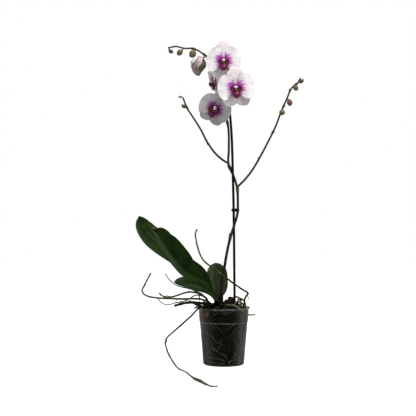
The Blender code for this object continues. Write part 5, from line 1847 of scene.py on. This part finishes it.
def make_side_flower():
    """The fourth flower, which turns away behind the others."""
    ruffle = bpy.context.scene.orchid_flowers.ruffle
    place = flower_frame(*SIDE_FLOWER)
    shape = Shape()
    for i, part in enumerate(TEPALS):
        shape.sheet(tepal_rows(place, part, ruffle, 1.7 * i), (1 if part.endswith("petal") else 2, 3))
    seat = smooth_route([place @ Vector(point) for point in SIDE_SEAT_ROUTE], 5)
    shares = list(zip([0.0, 0.31, 0.60, 1.0], SIDE_SEAT_RADII))
    shape.loft(tube_rings(seat, [0.7 * eased(shares, along) for along in distances(seat)], 20), 0)
    looks = finishes("column", "petal", "sepal", "petal_back")
    shape.piece("fine_side_flower", looks, "petal", "side_flower", middle=place)
    lower = place @ Matrix.Translation(SIDE_LIP_PLACE)
    lip_shape(lower).piece("fine_side_flower_lip", finishes("lip", "callus"), "lip", "side_flower_lip")


# ---------------------------------------------------------------- studio


def soft_light(name, place, target, size, power):
    data = bpy.data.lights.new(name, "AREA")
    data.shape = "DISK"
    data.size = size
    data.energy = power
    lamp = bpy.data.objects.new(name, data)
    lamp.location = place
    lamp.rotation_euler = (Vector(target) - Vector(place)).to_track_quat("-Z", "Y").to_euler()
    bpy.context.scene.collection.objects.link(lamp)


def make_studio():
    """A plain pale floor, a white room that lights softly, three soft lights and the camera."""
    scene = bpy.context.scene
    settings = scene.orchid_studio
    recipe = Recipe("pale_floor", 0.9)
    grain = recipe.noise(30.0, None, 2.0)
    pale = rgba(settings.floor)
    recipe.set("Base Color", recipe.mix(recipe.span(grain, 0.3, 0.7, 0.0, 0.02), pale, rgba(0.85)))
    recipe.set("Emission Color", rgba(1.0))
    seen = recipe.node("ShaderNodeLightPath", {}).outputs["Is Camera Ray"]
    recipe.set("Emission Strength", recipe.span(seen, 0.0, 1.0, settings.surround, settings.glow))
    half = settings.floor_size / 2
    data = bpy.data.meshes.new("floor")
    corners = [(-half, -half, 0), (half, -half, 0), (half, half, 0), (-half, half, 0)]
    data.from_pydata(corners, [], [(0, 1, 2, 3)])
    data.materials.append(recipe.material)
    floor = bpy.data.objects.new("floor", data)
    floor.location = (0, 0, -0.0002)
    scene.collection.objects.link(floor)

    world = bpy.data.worlds.new("white_room")
    world.use_nodes = True
    nodes, links = world.node_tree.nodes, world.node_tree.links
    sky = nodes["Background"]
    seen = nodes.new("ShaderNodeLightPath")
    bright = nodes.new("ShaderNodeMapRange")
    bright.inputs["To Min"].default_value = settings.surround
    bright.inputs["To Max"].default_value = 1.0
    links.new(seen.outputs["Is Camera Ray"], bright.inputs["Value"])
    links.new(bright.outputs["Result"], sky.inputs["Strength"])
    sky.inputs["Color"].default_value = rgba(1.0)
    scene.world = world
    scene.view_settings.view_transform = "Standard"

    soft_light("key", (0.7, -1.3, 2.8), (0.0, 0.0, 0.45), 0.8, settings.key)
    soft_light("fill", (-1.9, -1.3, 1.2), (0.0, 0.0, 0.35), 1.0, settings.fill)
    soft_light("rear", (0.5, 1.8, 1.9), (0.0, 0.0, 0.40), 1.2, settings.rear)
    lens = bpy.data.cameras.new("camera")
    lens.lens = settings.lens
    lens.sensor_width = 36.0
    camera = bpy.data.objects.new("camera", lens)
    camera.location = (settings.shift, -settings.distance, settings.height)
    camera.rotation_euler = (math.radians(90), 0, 0)
    scene.collection.objects.link(camera)
    scene.camera = camera


# ---------------------------------------------------------------- operators, panel and run


class OBJECT_OT_orchid_pot(bpy.types.Operator):
    """Builds the clear pot with its drain holes"""

    bl_idname = "orchid.pot"
    bl_label = "Pot"
    bl_options = {"REGISTER", "UNDO"}

    def execute(self, context):
        make_pot()
        return {"FINISHED"}


class OBJECT_OT_orchid_filling(bpy.types.Operator):
    """Builds the bark filling and its three larger chunks"""

    bl_idname = "orchid.filling"
    bl_label = "Filling"
    bl_options = {"REGISTER", "UNDO"}

    def execute(self, context):
        make_filling()
        make_loose_chips()
        return {"FINISHED"}


class OBJECT_OT_orchid_support(bpy.types.Operator):
    """Builds the black stake and the clip that holds the stem to it"""

    bl_idname = "orchid.support"
    bl_label = "Stake and clip"
    bl_options = {"REGISTER", "UNDO"}

    def execute(self, context):
        make_support()
        return {"FINISHED"}


class OBJECT_OT_orchid_crown(bpy.types.Operator):
    """Builds the short stem that carries the leaves"""

    bl_idname = "orchid.crown"
    bl_label = "Crown"
    bl_options = {"REGISTER", "UNDO"}

    def execute(self, context):
        make_crown()
        return {"FINISHED"}


class OBJECT_OT_orchid_stems(bpy.types.Operator):
    """Builds the flower stem and its two side branches"""

    bl_idname = "orchid.stems"
    bl_label = "Flower stems"
    bl_options = {"REGISTER", "UNDO"}

    def execute(self, context):
        for name in STEMS:
            make_stem(name)
        return {"FINISHED"}


class OBJECT_OT_orchid_leaves(bpy.types.Operator):
    """Builds the four leaves and the dead scrap on the rim"""

    bl_idname = "orchid.leaves"
    bl_label = "Leaves"
    bl_options = {"REGISTER", "UNDO"}

    def execute(self, context):
        for name in LEAVES:
            make_leaf(name)
        make_scrap()
        return {"FINISHED"}


class OBJECT_OT_orchid_roots(bpy.types.Operator):
    """Builds the aerial roots, their side roots and the dead stubs"""

    bl_idname = "orchid.roots"
    bl_label = "Aerial roots"
    bl_options = {"REGISTER", "UNDO"}

    def execute(self, context):
        make_roots()
        return {"FINISHED"}


class OBJECT_OT_orchid_wall_roots(bpy.types.Operator):
    """Builds the roots that show through the pot's wall"""

    bl_idname = "orchid.wall_roots"
    bl_label = "Roots in the pot"
    bl_options = {"REGISTER", "UNDO"}

    def execute(self, context):
        make_wall_roots()
        return {"FINISHED"}


class OBJECT_OT_orchid_buds(bpy.types.Operator):
    """Builds the nine closed buds and the opening one"""

    bl_idname = "orchid.buds"
    bl_label = "Buds"
    bl_options = {"REGISTER", "UNDO"}

    def execute(self, context):
        for name in BUDS:
            make_bud(name)
        make_opening_bud()
        return {"FINISHED"}


class OBJECT_OT_orchid_flowers(bpy.types.Operator):
    """Builds the three open flowers and the one that turns away"""

    bl_idname = "orchid.flowers"
    bl_label = "Flowers"
    bl_options = {"REGISTER", "UNDO"}

    def execute(self, context):
        for name in FLOWERS:
            make_flower(name)
        make_side_flower()
        return {"FINISHED"}


class OBJECT_OT_orchid_studio(bpy.types.Operator):
    """Builds the floor, the lights and the camera"""

    bl_idname = "orchid.studio"
    bl_label = "Studio"
    bl_options = {"REGISTER", "UNDO"}

    def execute(self, context):
        make_studio()
        return {"FINISHED"}


OPERATORS = (
    OBJECT_OT_orchid_pot,
    OBJECT_OT_orchid_filling,
    OBJECT_OT_orchid_support,
    OBJECT_OT_orchid_crown,
    OBJECT_OT_orchid_stems,
    OBJECT_OT_orchid_leaves,
    OBJECT_OT_orchid_roots,
    OBJECT_OT_orchid_wall_roots,
    OBJECT_OT_orchid_buds,
    OBJECT_OT_orchid_flowers,
    OBJECT_OT_orchid_studio,
)


class VIEW3D_PT_orchid(bpy.types.Panel):
    """Lists the pieces of the orchid in the order in which they are built"""

    bl_label = "Potted Orchid"
    bl_idname = "VIEW3D_PT_orchid"
    bl_space_type = "VIEW_3D"
    bl_region_type = "UI"
    bl_category = "Orchid"

    def draw(self, context):
        for operator in OPERATORS:
            self.layout.operator(operator.bl_idname)
        for group in GROUPS:
            settings = getattr(context.scene, group)
            box = self.layout.box()
            for name in settings.bl_rna.properties.keys():
                if name not in ("name", "rna_type"):
                    box.prop(settings, name)


GROUPS = {
    "orchid_pot": OrchidPot,
    "orchid_greens": OrchidGreens,
    "orchid_flowers": OrchidFlowers,
    "orchid_studio": OrchidStudio,
}


def register():
    for name, group in GROUPS.items():
        bpy.utils.register_class(group)
        setattr(bpy.types.Scene, name, PointerProperty(type=group))
    for operator in OPERATORS:
        bpy.utils.register_class(operator)
    bpy.utils.register_class(VIEW3D_PT_orchid)


def unregister():
    bpy.utils.unregister_class(VIEW3D_PT_orchid)
    for operator in reversed(OPERATORS):
        bpy.utils.unregister_class(operator)
    for name, group in reversed(GROUPS.items()):
        delattr(bpy.types.Scene, name)
        bpy.utils.unregister_class(group)


def main():
    register()
    bpy.ops.orchid.pot()
    bpy.ops.orchid.filling()
    bpy.ops.orchid.support()
    bpy.ops.orchid.crown()
    bpy.ops.orchid.stems()
    bpy.ops.orchid.leaves()
    bpy.ops.orchid.roots()
    bpy.ops.orchid.wall_roots()
    bpy.ops.orchid.buds()
    bpy.ops.orchid.flowers()
    bpy.ops.orchid.studio()


if __name__ == "__main__":
    main()
